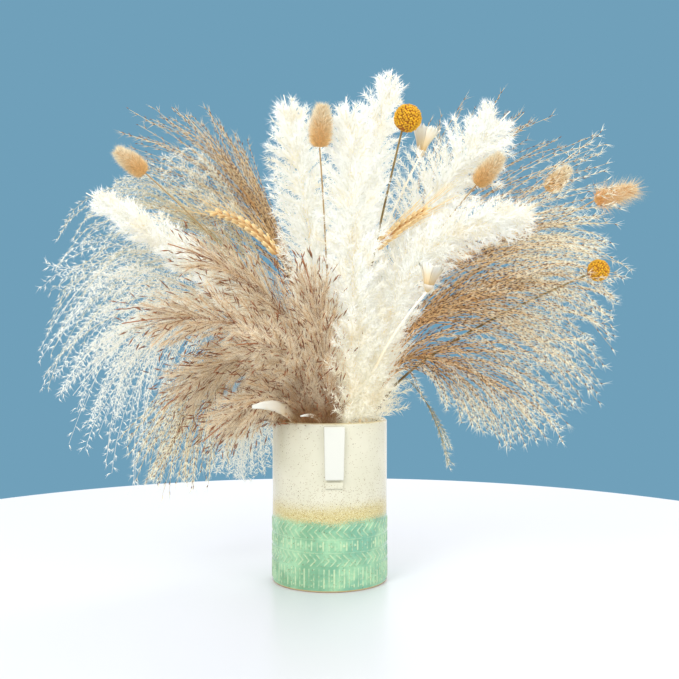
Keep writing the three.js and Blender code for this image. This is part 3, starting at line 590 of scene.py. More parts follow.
class Growth:
    """One piece: batches of forms laid in place, joined as one mesh when it is finished."""

    def __init__(self, look, node, seed=None):
        self.name = look + "_" + node
        self.node = node
        self.random = seeded(seed or node)
        self.points, self.tones, self.faces, self.sizes, self.finishes = [], [], [], [], []
        self.materials = []
        self.count = 0

    def add(self, form, points, material, shade=0.5, along=0.5):
        """Adds copies of a form in one of the fibres' materials, given by its name. A copy's shade
        and its place along the plant are 0 to 1."""
        copies, corners = points.shape[:2]
        if material not in self.materials:
            self.materials.append(material)
        tones = np.empty((copies, corners, 3))
        tones[..., 0] = np.broadcast_to(shade, copies)[:, None]
        tones[..., 1] = form.height
        tones[..., 2] = np.broadcast_to(along, copies)[:, None]
        first = self.count + corners * np.arange(copies)
        self.points.append(points.reshape(-1, 3))
        self.tones.append(tones.reshape(-1, 3))
        self.faces.append((first[:, None] + form.corner_of).ravel())
        self.sizes.append(np.tile(form.sizes, copies))
        self.finishes.append(np.full(copies * len(form.sizes), self.materials.index(material)))
        self.count += copies * corners

    def lay(self, form, start, bend, end, radius, material, shade=0.5, along=0.5):
        """Adds copies of a form, each bent along its own arch."""
        self.add(form, bent(form, start, bend, end, radius), material, shade, along)

    def hairs(self, roots, directions, length, radius, material, shade, along):
        """Adds hairs that leave their roots in the given directions."""
        length = length * self.random.uniform(0.7, 1.25, len(roots))
        ends = roots + directions * length[:, None]
        self.lay(HAIR, roots, (roots + ends) / 2, ends, radius, material, shade, along)

    def stem(self, stem, radius, loss, material, top=1.0):
        """Adds one rod from the vase floor along the stem, up to a share of its arch."""
        height = STEM.height
        arch = (height - IN_VASE) / (1 - IN_VASE) * top
        frames = stem.frames(np.where(height < IN_VASE, height / IN_VASE - 1, arch))
        self.add(STEM, turned(STEM, frames, radius * (1 - loss * height)), material)

    def finish(self, slot):
        points, tones = np.concatenate(self.points), np.concatenate(self.tones)
        faces, sizes = np.concatenate(self.faces), np.concatenate(self.sizes)
        mesh = bpy.data.meshes.new(self.name)
        mesh.vertices.add(len(points))
        mesh.vertices.foreach_set("co", points.astype(np.float32).ravel())
        mesh.loops.add(len(faces))
        mesh.loops.foreach_set("vertex_index", faces.astype(np.int32))
        mesh.polygons.add(len(sizes))
        mesh.polygons.foreach_set("loop_start", (np.cumsum(sizes) - sizes).astype(np.int32))
        mesh.polygons.foreach_set("material_index", np.concatenate(self.finishes).astype(np.int32))
        mesh.polygons.foreach_set("use_smooth", np.ones(len(sizes), bool))
        tone = mesh.attributes.new("growth", "FLOAT_VECTOR", "POINT")
        tone.data.foreach_set("vector", tones.astype(np.float32).ravel())
        mesh.update(calc_edges=True)
        mesh.validate()
        for material in self.materials:
            mesh.materials.append(FIBRE_MATERIALS[material])
        place(self.name, mesh, self.node)


def place(name, mesh, node):
    """A finished piece, in place of the solid it stands for."""
    piece = bpy.data.objects.new(name, mesh)
    bpy.context.scene.collection.objects.link(piece)
    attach(piece, "root")
    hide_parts(node)


# ---------------- materials


def srgb(red, green, blue):
    """A colour given as it looks, 0 to 255, as the renderer's linear values."""
    values = [level / 255 for level in (red, green, blue)]
    return (*(v / 12.92 if v < 0.04045 else ((v + 0.055) / 1.055) ** 2.4 for v in values), 1)


class Nodes:
    """A short way to build a node tree."""

    def __init__(self, tree):
        self.tree = tree

    def add(self, kind, inputs=None, **settings):
        node = self.tree.nodes.new(kind)
        for key, value in settings.items():
            setattr(node, key, value)
        for key, value in (inputs or {}).items():
            if isinstance(value, bpy.types.NodeSocket):
                self.tree.links.new(value, node.inputs[key])
            else:
                node.inputs[key].default_value = value
        return node

    def mix(self, factor, low, high, blend="MIX"):
        inputs = {0: factor, 6: low, 7: high}
        return self.add("ShaderNodeMix", inputs, data_type="RGBA", blend_type=blend).outputs[2]

    def math(self, operation, first, second):
        return self.add("ShaderNodeMath", {0: first, 1: second}, operation=operation).outputs[0]

    def times(self, first, second):
        return self.math("MULTIPLY", first, second)

    def step(self, value, low, high):
        """0 at low, 1 at high, and smooth between them."""
        inputs = {0: value, 1: low, 2: high}
        return self.add("ShaderNodeMapRange", inputs, interpolation_type="SMOOTHSTEP").outputs[0]

    def noise(self, where, scale):
        inputs = {"Vector": where, "Scale": scale, "Detail": 3.0}
        return self.add("ShaderNodeTexNoise", inputs).outputs[0]

    def attribute(self, name):
        """The values of a point attribute."""
        return self.add("ShaderNodeAttribute", attribute_name=name).outputs["Fac"]


def make_fibre_group():
    """The colour of a dried fibre: from root to tip, darker low in the plant (partly its own colour,
    partly painted shade among the crowded strands), each strand a little lighter or darker than the
    next, and in soft patches as the light has bleached it."""
    group = bpy.data.node_groups.new("fibre_tone", "ShaderNodeTree")
    for name in ("Root", "Tip", "Deep", "Patch"):
        group.interface.new_socket(name, in_out="INPUT", socket_type="NodeSocketColor")
    for name in ("Deep Reach", "Variation", "Patch Amount", "Patch Scale"):
        group.interface.new_socket(name, in_out="INPUT", socket_type="NodeSocketFloat")
    group.interface.new_socket("Colour", in_out="OUTPUT", socket_type="NodeSocketColor")
    nodes = Nodes(group)
    given = nodes.add("NodeGroupInput").outputs
    growth = nodes.add("ShaderNodeAttribute", attribute_name="growth").outputs["Vector"]
    shade, reach, along = nodes.add("ShaderNodeSeparateXYZ", {0: growth}).outputs[:3]
    strand = nodes.mix(reach, given["Root"], given["Tip"])
    # Low in the plant the deep colour takes over: partly the plant's own darker base, partly painted
    # shade among the crowded strands.
    strand = nodes.mix(nodes.step(along, 0.0, given["Deep Reach"]), given["Deep"], strand)
    where = nodes.add("ShaderNodeTexCoord").outputs["Object"]
    patch = nodes.step(nodes.noise(where, given["Patch Scale"]), 0.45, 0.7)
    strand = nodes.mix(nodes.times(patch, given["Patch Amount"]), strand, given["Patch"])
    darkest = nodes.math("SUBTRACT", 1.0, given["Variation"])
    light = nodes.math("ADD", darkest, nodes.times(shade, given["Variation"]))
    grey = nodes.add("ShaderNodeCombineColor", {0: light, 1: light, 2: light}).outputs[0]
    nodes.add("NodeGroupOutput", {"Colour": nodes.mix(1.0, strand, grey, "MULTIPLY")})
    return group


def new_material(name, **surface):
    """A material with its principled surface, and the nodes to build on."""
    material = bpy.data.materials.new(name)
    material.use_nodes = True
    shader = material.node_tree.nodes["Principled BSDF"]
    for socket, value in surface.items():
        shader.inputs[socket.replace("_", " ")].default_value = value
    return material, Nodes(material.node_tree), shader


def make_fibre(group, name, root, tip, deep, patch, reach=0.3, variation=0.25, patches=0.3,
               scale=40.0, roughness=0.75, glow=0.28):
    """A dry fibre. Its glow is painted light: it stands for the light that passes through such fine
    hairs and keeps them bright in their own shade.
    """
    material, nodes, shader = new_material(name, Roughness=roughness, Emission_Strength=glow)
    fibre = nodes.add("ShaderNodeGroup", node_tree=group)
    given = {"Root": srgb(*root), "Tip": srgb(*tip), "Deep": srgb(*deep), "Patch": srgb(*patch),
             "Deep Reach": reach, "Variation": variation, "Patch Amount": patches, "Patch Scale": scale}
    for socket, value in given.items():
        fibre.inputs[socket].default_value = value
    # The colour also feeds the emission, as painted light.
    for socket in ("Base Color", "Emission Color"):
        nodes.tree.links.new(fibre.outputs["Colour"], shader.inputs[socket])
    return material


def make_fibres():
    group = make_fibre_group()
    return {fibre["name"]: make_fibre(group, **fibre) for fibre in FIBRES}


FIBRE_MATERIALS = make_fibres()


def make_glaze():
    """Cream glaze over a speckled sand band over celadon, paler where the pattern stands proud."""
    material, nodes, shader = new_material("two_tone_glaze", Roughness=0.22, Coat_Weight=0.3)
    where = nodes.add("ShaderNodeTexCoord").outputs["Object"]
    across, _, height = nodes.add("ShaderNodeSeparateXYZ", {0: where}).outputs[:3]

    def drift(scale, reach):
        """Noise that strays to either side of 0."""
        return nodes.times(nodes.math("SUBTRACT", nodes.noise(where, scale), 0.5), reach)

    def patches(scale, low, high):
        return nodes.step(nodes.noise(where, scale), low, high)

    level = nodes.math("ADD", nodes.math("ADD", height, drift(22.0, 0.012)), drift(1100.0, 0.022))
    cloud = nodes.noise(where, 34.0)
    side = nodes.step(across, -VASE_RADIUS, VASE_RADIUS)
    celadon = nodes.mix(side, srgb(124, 172, 128), srgb(116, 176, 148))
    celadon = nodes.mix(nodes.step(cloud, 0.4, 0.65), celadon, srgb(158, 204, 160))
    celadon = nodes.mix(nodes.times(patches(150.0, 0.35, 0.65), 0.35), celadon, srgb(96, 150, 116))
    sand = nodes.mix(patches(1300.0, 0.42, 0.58), srgb(186, 166, 98), srgb(214, 206, 156))
    cream = nodes.mix(cloud, srgb(202, 199, 172), srgb(224, 220, 198))
    colour = nodes.mix(nodes.step(level, *CELADON_TO_SAND), celadon, sand)
    colour = nodes.mix(nodes.step(level, *SAND_TO_CREAM), colour, cream)
    worn = nodes.times(nodes.attribute("raised"), patches(160.0, 0.3, 0.6))
    colour = nodes.mix(nodes.times(worn, 0.72), colour, srgb(212, 228, 180))
    in_band = nodes.times(nodes.step(height, *SPECKS_END), nodes.step(height, *SPECKS_START))
    for specks in SPECKS:
        cell = nodes.add("ShaderNodeTexVoronoi", {"Vector": where, "Scale": specks["scale"]})
        chance = nodes.add("ShaderNodeSeparateColor", {0: cell.outputs["Color"]}).outputs[0]
        limit = nodes.math("ADD", nodes.times(in_band, specks["share"]), specks["share"] * 0.3)
        dot = nodes.step(cell.outputs["Distance"], specks["size"], specks["size"] * 0.6)
        speck = nodes.times(dot, nodes.math("LESS_THAN", chance, limit))
        colour = nodes.mix(nodes.times(speck, 0.8), colour, srgb(*specks["colour"]))
    lip = nodes.times(nodes.step(height, *BARE_LIP), 0.6)
    colour = nodes.mix(lip, colour, srgb(206, 184, 128))
    # Painted highlight: the lug's flat front, lit brighter than the wall, is tinted whiter within the
    # same glaze.
    colour = nodes.mix(nodes.attribute("lug"), colour, srgb(218, 218, 206))
    colour = nodes.mix(nodes.step(height, *BARE_FOOT), colour, srgb(196, 168, 122))
    shader.inputs["Base Color"].default_value = srgb(240, 234, 214)
    nodes.tree.links.new(colour, shader.inputs["Base Color"])
    peel = {"Strength": 0.12, "Distance": 0.0006, "Height": nodes.noise(where, 300.0)}
    nodes.tree.links.new(nodes.add("ShaderNodeBump", peel).outputs[0], shader.inputs["Normal"])
    return material


# ---------------- plumes


def plume_profile(share, radius):
    grown = np.minimum(1, share / PLUME_WIDEST)
    past = np.clip((share - PLUME_TAPER_START) / (1 - PLUME_TAPER_START), 0, 1)
    return radius * (PLUME_NECK + (1 - PLUME_NECK) * grown) * np.sqrt(1 - past ** 2)


def grow_plume(spec, habit):
    """A stalk whose branchlets, set round it from neck to tip, carry the hairs and spikelets."""
    spec = {**habit, **spec}
    stalk_finish, hair_finish = spec["finishes"]
    growth = Growth("feathery", spec["name"])
    random = growth.random
    stem = Stem(spec, spec["tip"])
    growth.stem(stem, PLUME_STEM, 0.7, stalk_finish)

    def ring(share, turn, out):
        """Points at shares of the arch, at turns round it and so far out from it."""
        centre, _, across, side = stem.frames(share)
        turn = turn[:, None]
        outward = across * np.cos(turn) + side * np.sin(turn) * spec["flattened"]
        return centre + outward * np.reshape(out, (-1, 1))

    count = spec["branchlets"]
    order = np.arange(count)
    last = 1 - 0.8 * spec["hair"] / stem.length
    reach = PLUME_FOOT + (last - PLUME_FOOT) * (order + random.random(count)) / count
    share = np.maximum(PLUME_SUNK, reach - random.uniform(*spec["lead"], count) / stem.length)
    turn = GOLDEN_ANGLE * order + random.normal(0, 0.25, count)
    swell = plume_profile(reach, spec["radius"] * spec["full"])
    swell = swell * (0.3 + 0.8 * random.random(count) ** 0.6)
    starts = ring(share, turn, 0)
    bends = ring(share + 0.55 * (reach - share), turn, swell * 0.45)
    ends = ring(reach, turn, swell)
    tone = random.random(count)
    growth.lay(BRANCHLET, starts, bends, ends, BRANCHLET.tapered(spec["branchlet"], 1.2),
               stalk_finish, tone, 1)

    owner = random.integers(0, count, int(spec["hairs"] * spec["full"]))
    owner = owner[reach[owner] < spec["haired"]]
    t = random.random(len(owner)) ** 0.7
    roots, along = arch_at(starts[owner], bends[owner], ends[owner], t[:, None])
    directions = fanned(random, along, *spec["stand_off"])
    shade = 0.5 * tone[owner] + 0.5 * random.random(len(owner))
    growth.hairs(roots, directions, spec["hair"] * (1.15 - 0.3 * t), spec["hair_radius"],
                 hair_finish, shade, share[owner] + t * (reach - share)[owner])

    if spec["spikelets"]:
        owner = np.repeat(order, spec["spikelets"])
        t = np.tile(np.linspace(0.45, 1.0, spec["spikelets"]), count)
        t = np.clip(t + random.normal(0, 0.06, len(t)), 0.2, 1)
        roots, along = arch_at(starts[owner], bends[owner], ends[owner], t[:, None])
        directions = fanned(random, along, 0.25, 0.7)
        size = random.uniform(*RUST_LENGTH, len(t))[:, None]
        roots = roots + directions * size * 0.7
        growth.lay(SPIKELET, roots, roots + directions * size / 2, roots + directions * size,
                   random.uniform(*RUST_RADIUS, len(t)), "rust_spikelet", random.random(len(t)), 1)

    turn = random.uniform(0, 2 * math.pi, SHEATHS)
    rise = random.uniform(0.15, 0.42, SHEATHS)
    wide = plume_profile(rise, spec["radius"]) * random.uniform(0.3, 0.75, SHEATHS)
    roots = stem.frames(random.uniform(0, 0.04, SHEATHS))[0]
    growth.lay(TWIG, roots, ring(rise * 0.5, turn, wide * 0.4), ring(rise, turn, wide),
               TWIG.tapered(SHEATH_RADIUS, 1.2), stalk_finish, random.random(SHEATHS), 1)
    for start, bend, end, wide in spec["leaves"]:
        width = wide * (0.3 + 0.7 * np.sin(math.pi * LEAF.height ** 1.3))
        growth.lay(LEAF, start, bend, end, width[None], "paper_petal", 0.6, 1)
    growth.finish(spec["slot"])


# ---------------- sprays


def grow_spray(spec):
    """A stem whose leader sends out racemes, with spikelets and silk along each of them."""
    spec = {**ANY_SPRAY, **SPRAY_HABITS[spec["tone"]], **spec}
    raceme_finish, spikelet_finish, silk_finish = spec["finishes"]
    growth = Growth("fine", spec["name"])
    random = growth.random
    stem = Stem(spec, spec["neck"])
    growth.stem(stem, SPRAY_STEM, 0.1, "straw")

    seat, along = (part[0] for part in stem.frames(LEADER_SEAT)[:2])
    middle = np.array(spec["middle"])
    reach = np.linalg.norm(middle - seat)
    leader_bend = seat + along * reach * RACEME_FOLLOW / 2 + (middle - seat) * (1 - RACEME_FOLLOW) / 2
    leader_bend[2] += spec["lift"] * reach
    growth.lay(TWIG, seat, leader_bend, middle, TWIG.tapered(spec["leader"], 1, 0.75),
               raceme_finish, 0.5, 1)

    # The tips of the racemes, in a fan that is deep and ragged.
    count = spec["racemes"]
    order = np.arange(count)
    fan_low, fan_high = spec["fan"]
    share = fan_low + (fan_high - fan_low) * (order + random.random(count)) / count
    tips = through(spec["first"], spec["middle"], spec["last"], share)
    deep = spec["depth"] * FAN_DEPTH * np.sin(2.4 * order) * random.uniform(0.5, 1.2, count)
    tips[:, 1] += np.minimum(deep, FAN_BACK)
    tips += random.normal(0, spec["scatter"], tips.shape)
    tips[:, 2] -= spec["droop"] * random.random(count) ** 2

    # Their roots, on the leader or lower on the stem. Three racemes in four fall short of the fan.
    inward = np.maximum(0, 1 - np.abs(2 * share - 1))
    leaves = LEADER_BARE + LEADER_FORKED * inward * random.uniform(0.3, 1, count)
    roots, along = arch_at(seat, leader_bend, middle, leaves[:, None])
    low = (random.random(count) < spec["low"])[:, None]
    low_frames = stem.frames(random.uniform(0.35, LEADER_SEAT, count))
    roots = np.where(low, low_frames[0], roots)
    along = np.where(low, low_frames[1], along)
    follow = np.where(low, LOW_FOLLOW, RACEME_FOLLOW)
    short = np.where(order % 4 == 0, 1, random.uniform(0.55, 1, count))[:, None]
    short = short * (1 - spec["shrink"] * np.maximum(0, -share))[:, None]
    chord = (tips - roots) * short
    tips = roots + chord
    far = np.linalg.norm(chord, axis=1)[:, None]
    bends = roots + along * far * follow / 2 + chord * (spec["hang"] - follow / 2)
    bends[:, 2] += spec["lift"] * far[:, 0] * random.uniform(*RACEME_LIFT, count)
    bends[:, 1] -= spec["forward"] * random.random(count)
    growth.lay(TWIG, roots, bends, tips, TWIG.tapered(spec["raceme_radius"], 1.1, 0.6),
               raceme_finish, random.random(count), 1)

    # The spikelets, to either side of each raceme in turn.
    per = spec["spikelets"]
    owner = np.repeat(order, per)
    t = np.tile(np.linspace(0.18, 1.0, per), count) + random.normal(0, 0.006, count * per)
    t = np.clip(t, 0.1, 1)
    feet, along = arch_at(roots[owner], bends[owner], tips[owner], t[:, None])
    sideways = unit(np.cross(along, random.normal(size=(count, 3))[owner]))
    sideways = sideways * np.where(np.arange(len(t)) % 2 == 0, 1, -1)[:, None]
    lean = random.uniform(*spec["lean"], len(t))[:, None]
    pointing = along * np.cos(lean) + sideways * np.sin(lean)
    size = (spec["spikelet"] * random.uniform(0.75, 1.2, len(t)))[:, None]
    curl = sideways * size * spec["curl"]
    growth.lay(SPIKELET, feet, feet + pointing * size / 2 + curl, feet + pointing * size,
               spec["spikelet_radius"], spikelet_finish, random.random(len(t)), t)

    # The silk, in tufts that are longer towards the tips.
    hairy = np.repeat(np.flatnonzero(random.random(len(t)) < spec["silky"] * t), spec["silk"])
    silk = fanned(random, pointing[hairy], 0.15, 0.8)
    start = feet[hairy] + pointing[hairy] * size[hairy] * random.uniform(0.1, 0.8, (len(hairy), 1))
    fluff = 0.3 + 0.9 * t[hairy]
    growth.hairs(start, silk, spec["silk_length"] * fluff, spec["silk_radius"] * fluff, silk_finish,
                 random.random(len(hairy)), t[hairy])
    growth.finish(spec["slot"])


# ---------------- heads on thin stems


def grow_stem(spec, radius, finish, slot):
    growth = Growth("dry", spec["name"] + "_stem")
    stem = Stem(spec, spec["base"])
    growth.stem(stem, radius, 0.25, finish, 1 - GAP / stem.length)
    growth.finish(slot)


def egg_profile(share, radius):
    return radius * np.sqrt(np.maximum(0, np.sin(math.pi * np.clip(share, 0, 1) ** EGG_SKEW)))


def ball_profile(share, radius):
    return radius * np.sqrt(np.maximum(0, 1 - (2 * share - 1) ** 2))


def grow_furry_head(look, spec, coats, core, finish, slot):
    """An egg-shaped head whose hairs stand off at its base and lie along it towards its tip."""
    growth = Growth(look, spec["name"])
    random = growth.random
    base, tip = np.array(spec["base"]), np.array(spec["tip"])
    fur = coats[0][1]
    head = Head(base, tip - unit(tip - base) * fur * 0.7)
    core = spec["radius"] * core
    egg = turned(EGG, head.frames(EGG.height), egg_profile(EGG.height, core))
    # The core's darker colour is painted shade, seen through the gaps in the fur.
    growth.add(EGG, egg, "bunny_tail_core", 0.4)
    for hairs, length, radius, lean_low, lean_high in coats:
        share = random.uniform(0.02, 0.97, hairs)
        frames = head.frames(share)
        outward = outwards(frames, random.uniform(0, 2 * math.pi, hairs))
        roots = frames[0] + outward * egg_profile(share, core * 0.95)[:, None]
        lean = (lean_low + (lean_high - lean_low) * share + random.normal(0, 0.15, hairs))[:, None]
        directions = frames[1] * np.cos(lean) + outward * np.sin(lean)
        directions = unit(directions + random.normal(0, 0.12, directions.shape))
        growth.hairs(roots, directions, length, radius, finish, random.random(hairs), share)
    growth.finish(slot)


def grow_billy_button(spec):
    """A ball packed with florets in a golden spiral."""
    growth = Growth("packed", spec["name"])
    random = growth.random
    head = Head(spec["base"], spec["tip"])
    radius = spec["radius"]
    core = ball_profile(EGG.height, radius * BILLY_CORE)
    # The core's dark colour is painted shade, seen through the gaps between the florets.
    growth.add(EGG, turned(EGG, head.frames(EGG.height), core), "billy_core")
    florets = int(BILLY_FLORETS * (radius / BILLY_BUTTONS[0]["radius"]) ** 2)
    order = np.arange(florets)
    level = 1 - 2 * (order + 0.5) / florets
    flat = np.sqrt(1 - level ** 2)
    turn = GOLDEN_ANGLE * order
    normals = (head.along * level[:, None] + head.across * (flat * np.cos(turn))[:, None]
               + head.side * (flat * np.sin(turn))[:, None])
    normals = unit(normals + random.normal(0, 0.03, normals.shape))
    starts = head.middle + normals * radius * 0.86
    ends = head.middle + normals * (radius * random.uniform(1.0, 1.06, florets))[:, None]
    growth.lay(BUD, starts, (starts + ends) / 2, ends, radius * 1.9 / math.sqrt(florets),
               "billy_floret", random.random(florets), 1)
    growth.finish("billy_yellow")


# ---------------- wheat


def grow_wheat(spec):
    """A stalk with an ear of grains, braided in two rows, each grain with its awn."""
    growth = Growth("braided", spec["name"])
    random = growth.random
    stem = Stem(spec, spec["base"])
    growth.stem(stem, THIN_STEM, 0.2, "straw")
    ear = Head(stem.frames(EAR_SEAT)[0][0], spec["tip"], spec["bow"])
    growth.lay(TWIG, ear.base, ear.middle, ear.tip, EAR_AXIS_RADIUS, "wheat_husk")
    row = np.repeat(np.arange(EAR_ROWS), 3)
    in_row = np.tile([-1, 0, 1], EAR_ROWS)
    share = row / EAR_ROWS * 0.9
    frames = ear.frames(share)
    outward = outwards(frames, np.where(row % 2 == 0, 0, math.pi) + in_row * 0.95)
    taper = 1 - 0.4 * share
    starts = frames[0] + outward * GRAIN_SEAT
    pointing = unit(frames[1] + outward * 0.36 + random.normal(0, 0.03, outward.shape))
    ends = starts + pointing * (GRAIN_LENGTH * taper)[:, None]
    bends = (starts + ends) / 2 + outward * GRAIN_BULGE
    growth.lay(HUSK, starts, bends, ends, GRAIN_RADIUS * taper, "wheat_husk",
               random.random(len(row)), 1)
    pointing = unit(frames[1] + outward * 0.16 + random.normal(0, 0.05, outward.shape))
    far = ends + pointing * random.uniform(*AWN_LENGTH, len(row))[:, None]
    growth.lay(AWN, starts * 0.3 + ends * 0.7, (ends + far) / 2, far, AWN_RADIUS, "wheat_awn",
               random.random(len(row)), 1)
    growth.finish("wheat_straw")


# ---------------- papery flowers


def petals_of(flower, random, petals, turn, opening, height, cover):
    """One whorl of curved petals with slightly torn rims."""
    head = Head(flower["base"], flower["tip"])
    sideways, through_petal = PETAL.corners[None, :, 0], PETAL.corners[None, :, 1]
    along = PETAL.height[None, :]
    turn = (np.arange(petals) / petals * 2 * math.pi + turn)[:, None]
    torn = 1 - 0.14 * np.sin(5 * sideways + random.uniform(0, 6, (petals, 1))) ** 2 * along
    level = (1 - PETAL_ROOT) * along * height * torn * random.uniform(0.88, 1.06, (petals, 1))
    rounded = np.clip((along - 0.5) / 0.54, 0, 1)
    angle = turn - sideways * (cover * math.pi / petals * np.sqrt(1 - rounded ** 2))
    out = PETAL_SEAT + (flower["radius"] * opening - PETAL_SEAT) * along ** PETAL_FLARE
    out = out + through_petal * PETAL_THICKNESS + PETAL_RIPPLE * np.sin(9 * sideways + turn) * along
    centre = head.base + (head.tip - head.base) * (PETAL_ROOT + level)[..., None]
    outward = head.across * np.cos(angle)[..., None] + head.side * np.sin(angle)[..., None]
    return centre + outward * out[..., None]


def grow_paper_flower(spec):
    """A stout stem, a calyx and three whorls of papery petals."""
    growth = Growth("curved", spec["name"])
    random = growth.random
    growth.stem(Stem(spec, spec["base"]), STOUT_STEM, 0.2, "bleached_stalk")
    low, high = CALYX_SPAN
    frames = Head(spec["base"], spec["tip"]).frames(low + (high - low) * EGG.height)
    calyx = np.interp(EGG.height, *zip(*CALYX))
    growth.add(EGG, turned(EGG, frames, calyx), "paper_petal", 0.4, 0.3)
    for whorl in WHORLS:
        growth.add(PETAL, petals_of(spec, random, **whorl), "paper_petal",
                   random.random(whorl["petals"]), 1)
    growth.finish("paper_petal")


def grow_flower_centre(spec):
    """A golden tuft of florets in the cup."""
    node = spec["name"] + "_centre"
    growth = Growth("golden", node, seed="golden_" + node)
    order = np.arange(CENTRE_FLORETS)
    out = CENTRE_RADIUS * np.sqrt(order / CENTRE_FLORETS)
    frames = Head(spec["base"], spec["tip"]).frames(np.full(CENTRE_FLORETS, CENTRE_LEVEL))
    outward = outwards(frames, GOLDEN_ANGLE * order)
    starts = frames[0] + outward * out[:, None] * 0.6
    ends = starts + frames[1] * (CENTRE_HEIGHT - out * 0.7)[:, None] + outward * out[:, None] * 0.6
    growth.lay(BUD, starts, (starts + ends) / 2, ends, CENTRE_BUD, "golden_floret",
               growth.random.random(CENTRE_FLORETS), 1)
    growth.finish("golden_centre")


# ---------------- vase


def line(distance, half_width):
    """1 on a raised line, falling to 0 over the slope at its edge."""
    return 1 - smooth_step(half_width - RELIEF_EDGE / 2, half_width + RELIEF_EDGE / 2, np.abs(distance))


def repeat(value, pitch):
    """The distance of a value from the nearest multiple of pitch."""
    return (value + pitch / 2) % pitch - pitch / 2


def relief(around, height):
    """How proud the pattern stands, 0 to 1, at a place round the vase and a height."""

    def within(low, high):
        risen = smooth_step(low, low + RELIEF_EDGE, height)
        return risen * (1 - smooth_step(high - RELIEF_EDGE, high, height))

    layers = [line(height - level, HEM_HALF) * HEM_PROUD for level in HEMS]
    for row in STROKES:
        slanted = around + row["slant"] * np.abs(height - row["point"])
        strokes = line(repeat(slanted, VASE_GIRTH / row["count"]), row["half"])
        layers.append(strokes * within(row["low"], row["high"]))
    for row in DOTS:
        pitch = VASE_GIRTH / row["strokes"]
        sideways = repeat(around - pitch / 2, pitch * 2)
        upright = repeat(height - row["level"], row["apart"])
        layers.append(line(np.hypot(sideways, upright), row["radius"]) * within(row["low"], row["high"]))
    return np.max(layers, axis=0)


def spin_vase(mesh):
    """The wall, lip, inside and floor as one profile spun about the axis."""
    lip = VASE_WALL / 2
    inner = VASE_RADIUS - VASE_WALL
    foot = VASE_RADIUS - FOOT_BEVEL
    profile = [(0, 0), (VASE_RADIUS / 2, 0), (foot, 0), (VASE_RADIUS - FOOT_BEVEL / 4, FOOT_EASE)]
    profile.append((VASE_RADIUS, FOOT_BEVEL))
    rows = int((RELIEF_TOP - RELIEF_BOTTOM) / RELIEF_STEP)
    profile += [(VASE_RADIUS, RELIEF_BOTTOM + RELIEF_STEP * row) for row in range(rows + 1)]
    profile += [(VASE_RADIUS, RELIEF_TOP + PLAIN_STEP * step) for step in range(1, PLAIN_RINGS + 1)]
    middle, top = VASE_RADIUS - lip, VASE_HEIGHT - lip
    for angle in np.linspace(0, math.pi, LIP_STEPS + 1):
        profile.append((middle + lip * math.cos(angle), top + lip * math.sin(angle)))
    profile += [(inner, height) for height in (*INNER_RINGS, VASE_FLOOR + VASE_FILLET)]
    profile.append((inner - 0.3 * VASE_FILLET, VASE_FLOOR + 0.3 * VASE_FILLET))
    profile += [(inner - VASE_FILLET, VASE_FLOOR), (VASE_RADIUS / 2, VASE_FLOOR), (0, VASE_FLOOR)]
    corners = [mesh.verts.new((radius, 0, height)) for radius, height in profile]
    edges = [mesh.edges.new(pair) for pair in zip(corners, corners[1:])]
    bmesh.ops.spin(mesh, geom=corners + edges, cent=(0, 0, 0), axis=(0, 0, 1), angle=2 * math.pi,
                   steps=VASE_STEPS, use_merge=True)
    bmesh.ops.remove_doubles(mesh, verts=mesh.verts, dist=1e-6)
    bmesh.ops.recalc_face_normals(mesh, faces=mesh.faces)


def add_lug(mesh, lug, wide, narrow, top, bottom, proud, white):
    """An upright block with eased edges, set into the wall at the vase's front."""
    made = bmesh.ops.create_cube(mesh, size=1)["verts"]
    bmesh.ops.scale(mesh, verts=made, vec=(1, LUG_SUNK + proud, top - bottom))
    for corner in made:
        corner.co.x *= wide if corner.co.z > 0 else narrow
    centre = (0, -(VASE_RADIUS + (proud - LUG_SUNK) / 2), (top + bottom) / 2)
    bmesh.ops.translate(mesh, verts=made, vec=centre)
    bmesh.ops.rotate(mesh, verts=made, matrix=Matrix.Rotation(LUG_AZIMUTH, 3, "Z"))
    edges = {edge for corner in made for edge in corner.link_edges}
    eased = bmesh.ops.bevel(mesh, geom=list(edges), affect="EDGES", offset=min(LUG_EDGE, proud / 2),
                            segments=4, profile=0.5, material=-1)
    # The lug's corners carry the mask of the painted highlight: 1 on the lug, 0 on the tab.
    for corner in eased["verts"]:
        corner[lug] = white


def make_vase():
    mesh = bmesh.new()
    spin_vase(mesh)
    raised = mesh.verts.layers.float.new("raised")
    lug = mesh.verts.layers.float.new("lug")
    points = np.array([corner.co for corner in mesh.verts])
    around_from_front = (np.arctan2(points[:, 1], points[:, 0]) + math.pi / 2) * VASE_RADIUS
    outside = (np.hypot(points[:, 0], points[:, 1]) > VASE_RADIUS - 1e-5) & (points[:, 2] < RELIEF_TOP)
    proud = relief(around_from_front, points[:, 2]) * outside
    for corner, amount in zip(mesh.verts, proud):
        corner[raised] = amount
        corner.co.xy *= 1 + amount * RELIEF_HEIGHT / VASE_RADIUS
    add_lug(mesh, lug, **LUG)
    add_lug(mesh, lug, **TAB)
    finished = bpy.data.meshes.new("glazed_vase")
    mesh.to_mesh(finished)
    mesh.free()
    finished.shade_smooth()
    finished.materials.append(make_glaze())
    place("glazed_vase", finished, "vase")


# ---------------- all the plants


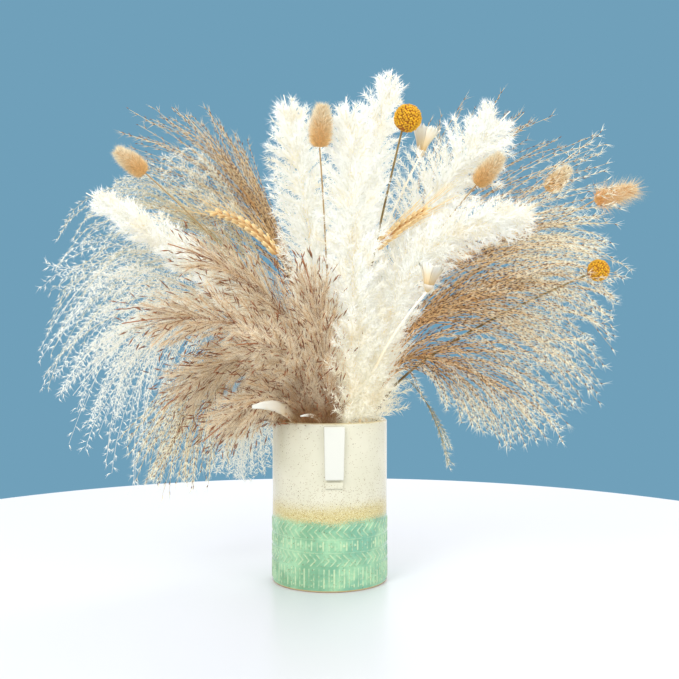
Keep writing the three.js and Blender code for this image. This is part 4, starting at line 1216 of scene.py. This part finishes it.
def make_plants():
    for spec in WHITE_PLUMES:
        grow_plume(spec, WHITE_HABIT)
    for spec in BROWN_PLUMES:
        grow_plume(spec, BROWN_HABIT)
    for spec in SPRAYS:
        grow_spray(spec)
    for spec in BUNNY_TAILS:
        grow_furry_head("furry", spec, BUNNY_COATS, BUNNY_CORE, "bunny_tail_hair", "bunny_fur")
        grow_stem(spec, THIN_STEM, "straw", "straw_stem")
    for spec in FOXTAILS:
        grow_furry_head("bristly", spec, FOXTAIL_COATS, FOXTAIL_CORE, "foxtail_bristle",
                        "foxtail_bristles")
        grow_stem(spec, THIN_STEM, "straw", "straw_stem")
    for spec in BILLY_BUTTONS:
        grow_billy_button(spec)
        grow_stem(spec, STOUT_STEM, "olive_stem", "billy_stem")
    for spec in WHEAT_EARS:
        grow_wheat(spec)
    for spec in PAPER_FLOWERS:
        grow_paper_flower(spec)
        grow_flower_centre(spec)


# ---------------- floor, lights and camera


def make_floor():
    mesh = bmesh.new()
    bmesh.ops.create_circle(mesh, cap_ends=True, segments=128, radius=FLOOR_RADIUS)
    shape = bpy.data.meshes.new("pale_floor")
    mesh.to_mesh(shape)
    mesh.free()
    floor = bpy.data.objects.new("pale_floor", shape)
    bpy.context.scene.collection.objects.link(floor)
    material, _, shader = new_material("pale_floor", Roughness=0.3)
    shader.inputs["Base Color"].default_value = srgb(214, 217, 220)
    shape.materials.append(material)


def make_light(name, location, size, power):
    light = bpy.data.lights.new(name, "AREA")
    light.shape = "DISK"
    light.size = size
    light.energy = power
    lamp = bpy.data.objects.new(name, light)
    bpy.context.scene.collection.objects.link(lamp)
    lamp.location = location
    x, y, z = np.array(LIGHTS_AIM) - location
    lamp.rotation_euler = (math.atan2(math.hypot(x, y), -z), 0, math.atan2(x, -y) + math.pi)


def make_studio():
    """The lights, and a world that lights the scene in one colour and is seen in another."""
    world = bpy.data.worlds.new("soft_studio")
    bpy.context.scene.world = world
    world.use_nodes = True
    world.node_tree.nodes.clear()
    nodes = Nodes(world.node_tree)
    seen = nodes.add("ShaderNodeBackground", {"Color": srgb(112, 160, 186), "Strength": 1.0}).outputs[0]
    lit = nodes.add("ShaderNodeBackground", {"Color": srgb(248, 250, 255), "Strength": 1.1}).outputs[0]
    camera_ray = nodes.add("ShaderNodeLightPath").outputs["Is Camera Ray"]
    both = nodes.add("ShaderNodeMixShader", {0: camera_ray, 1: lit, 2: seen}).outputs[0]
    nodes.add("ShaderNodeOutputWorld", {"Surface": both})
    for light in LIGHTS:
        make_light(*light)
    bpy.context.scene.view_settings.view_transform = "Standard"


def make_camera():
    camera = bpy.data.cameras.new("camera")
    camera.sensor_width = 36
    camera.lens = CAMERA_LENS
    camera.clip_start = 0.01
    viewer = bpy.data.objects.new("camera", camera)
    bpy.context.scene.collection.objects.link(viewer)
    viewer.location = CAMERA_PLACE
    viewer.rotation_euler = (math.pi / 2, 0, 0)
    bpy.context.scene.camera = viewer


make_camera()
make_studio()
make_floor()
make_vase()
make_plants()
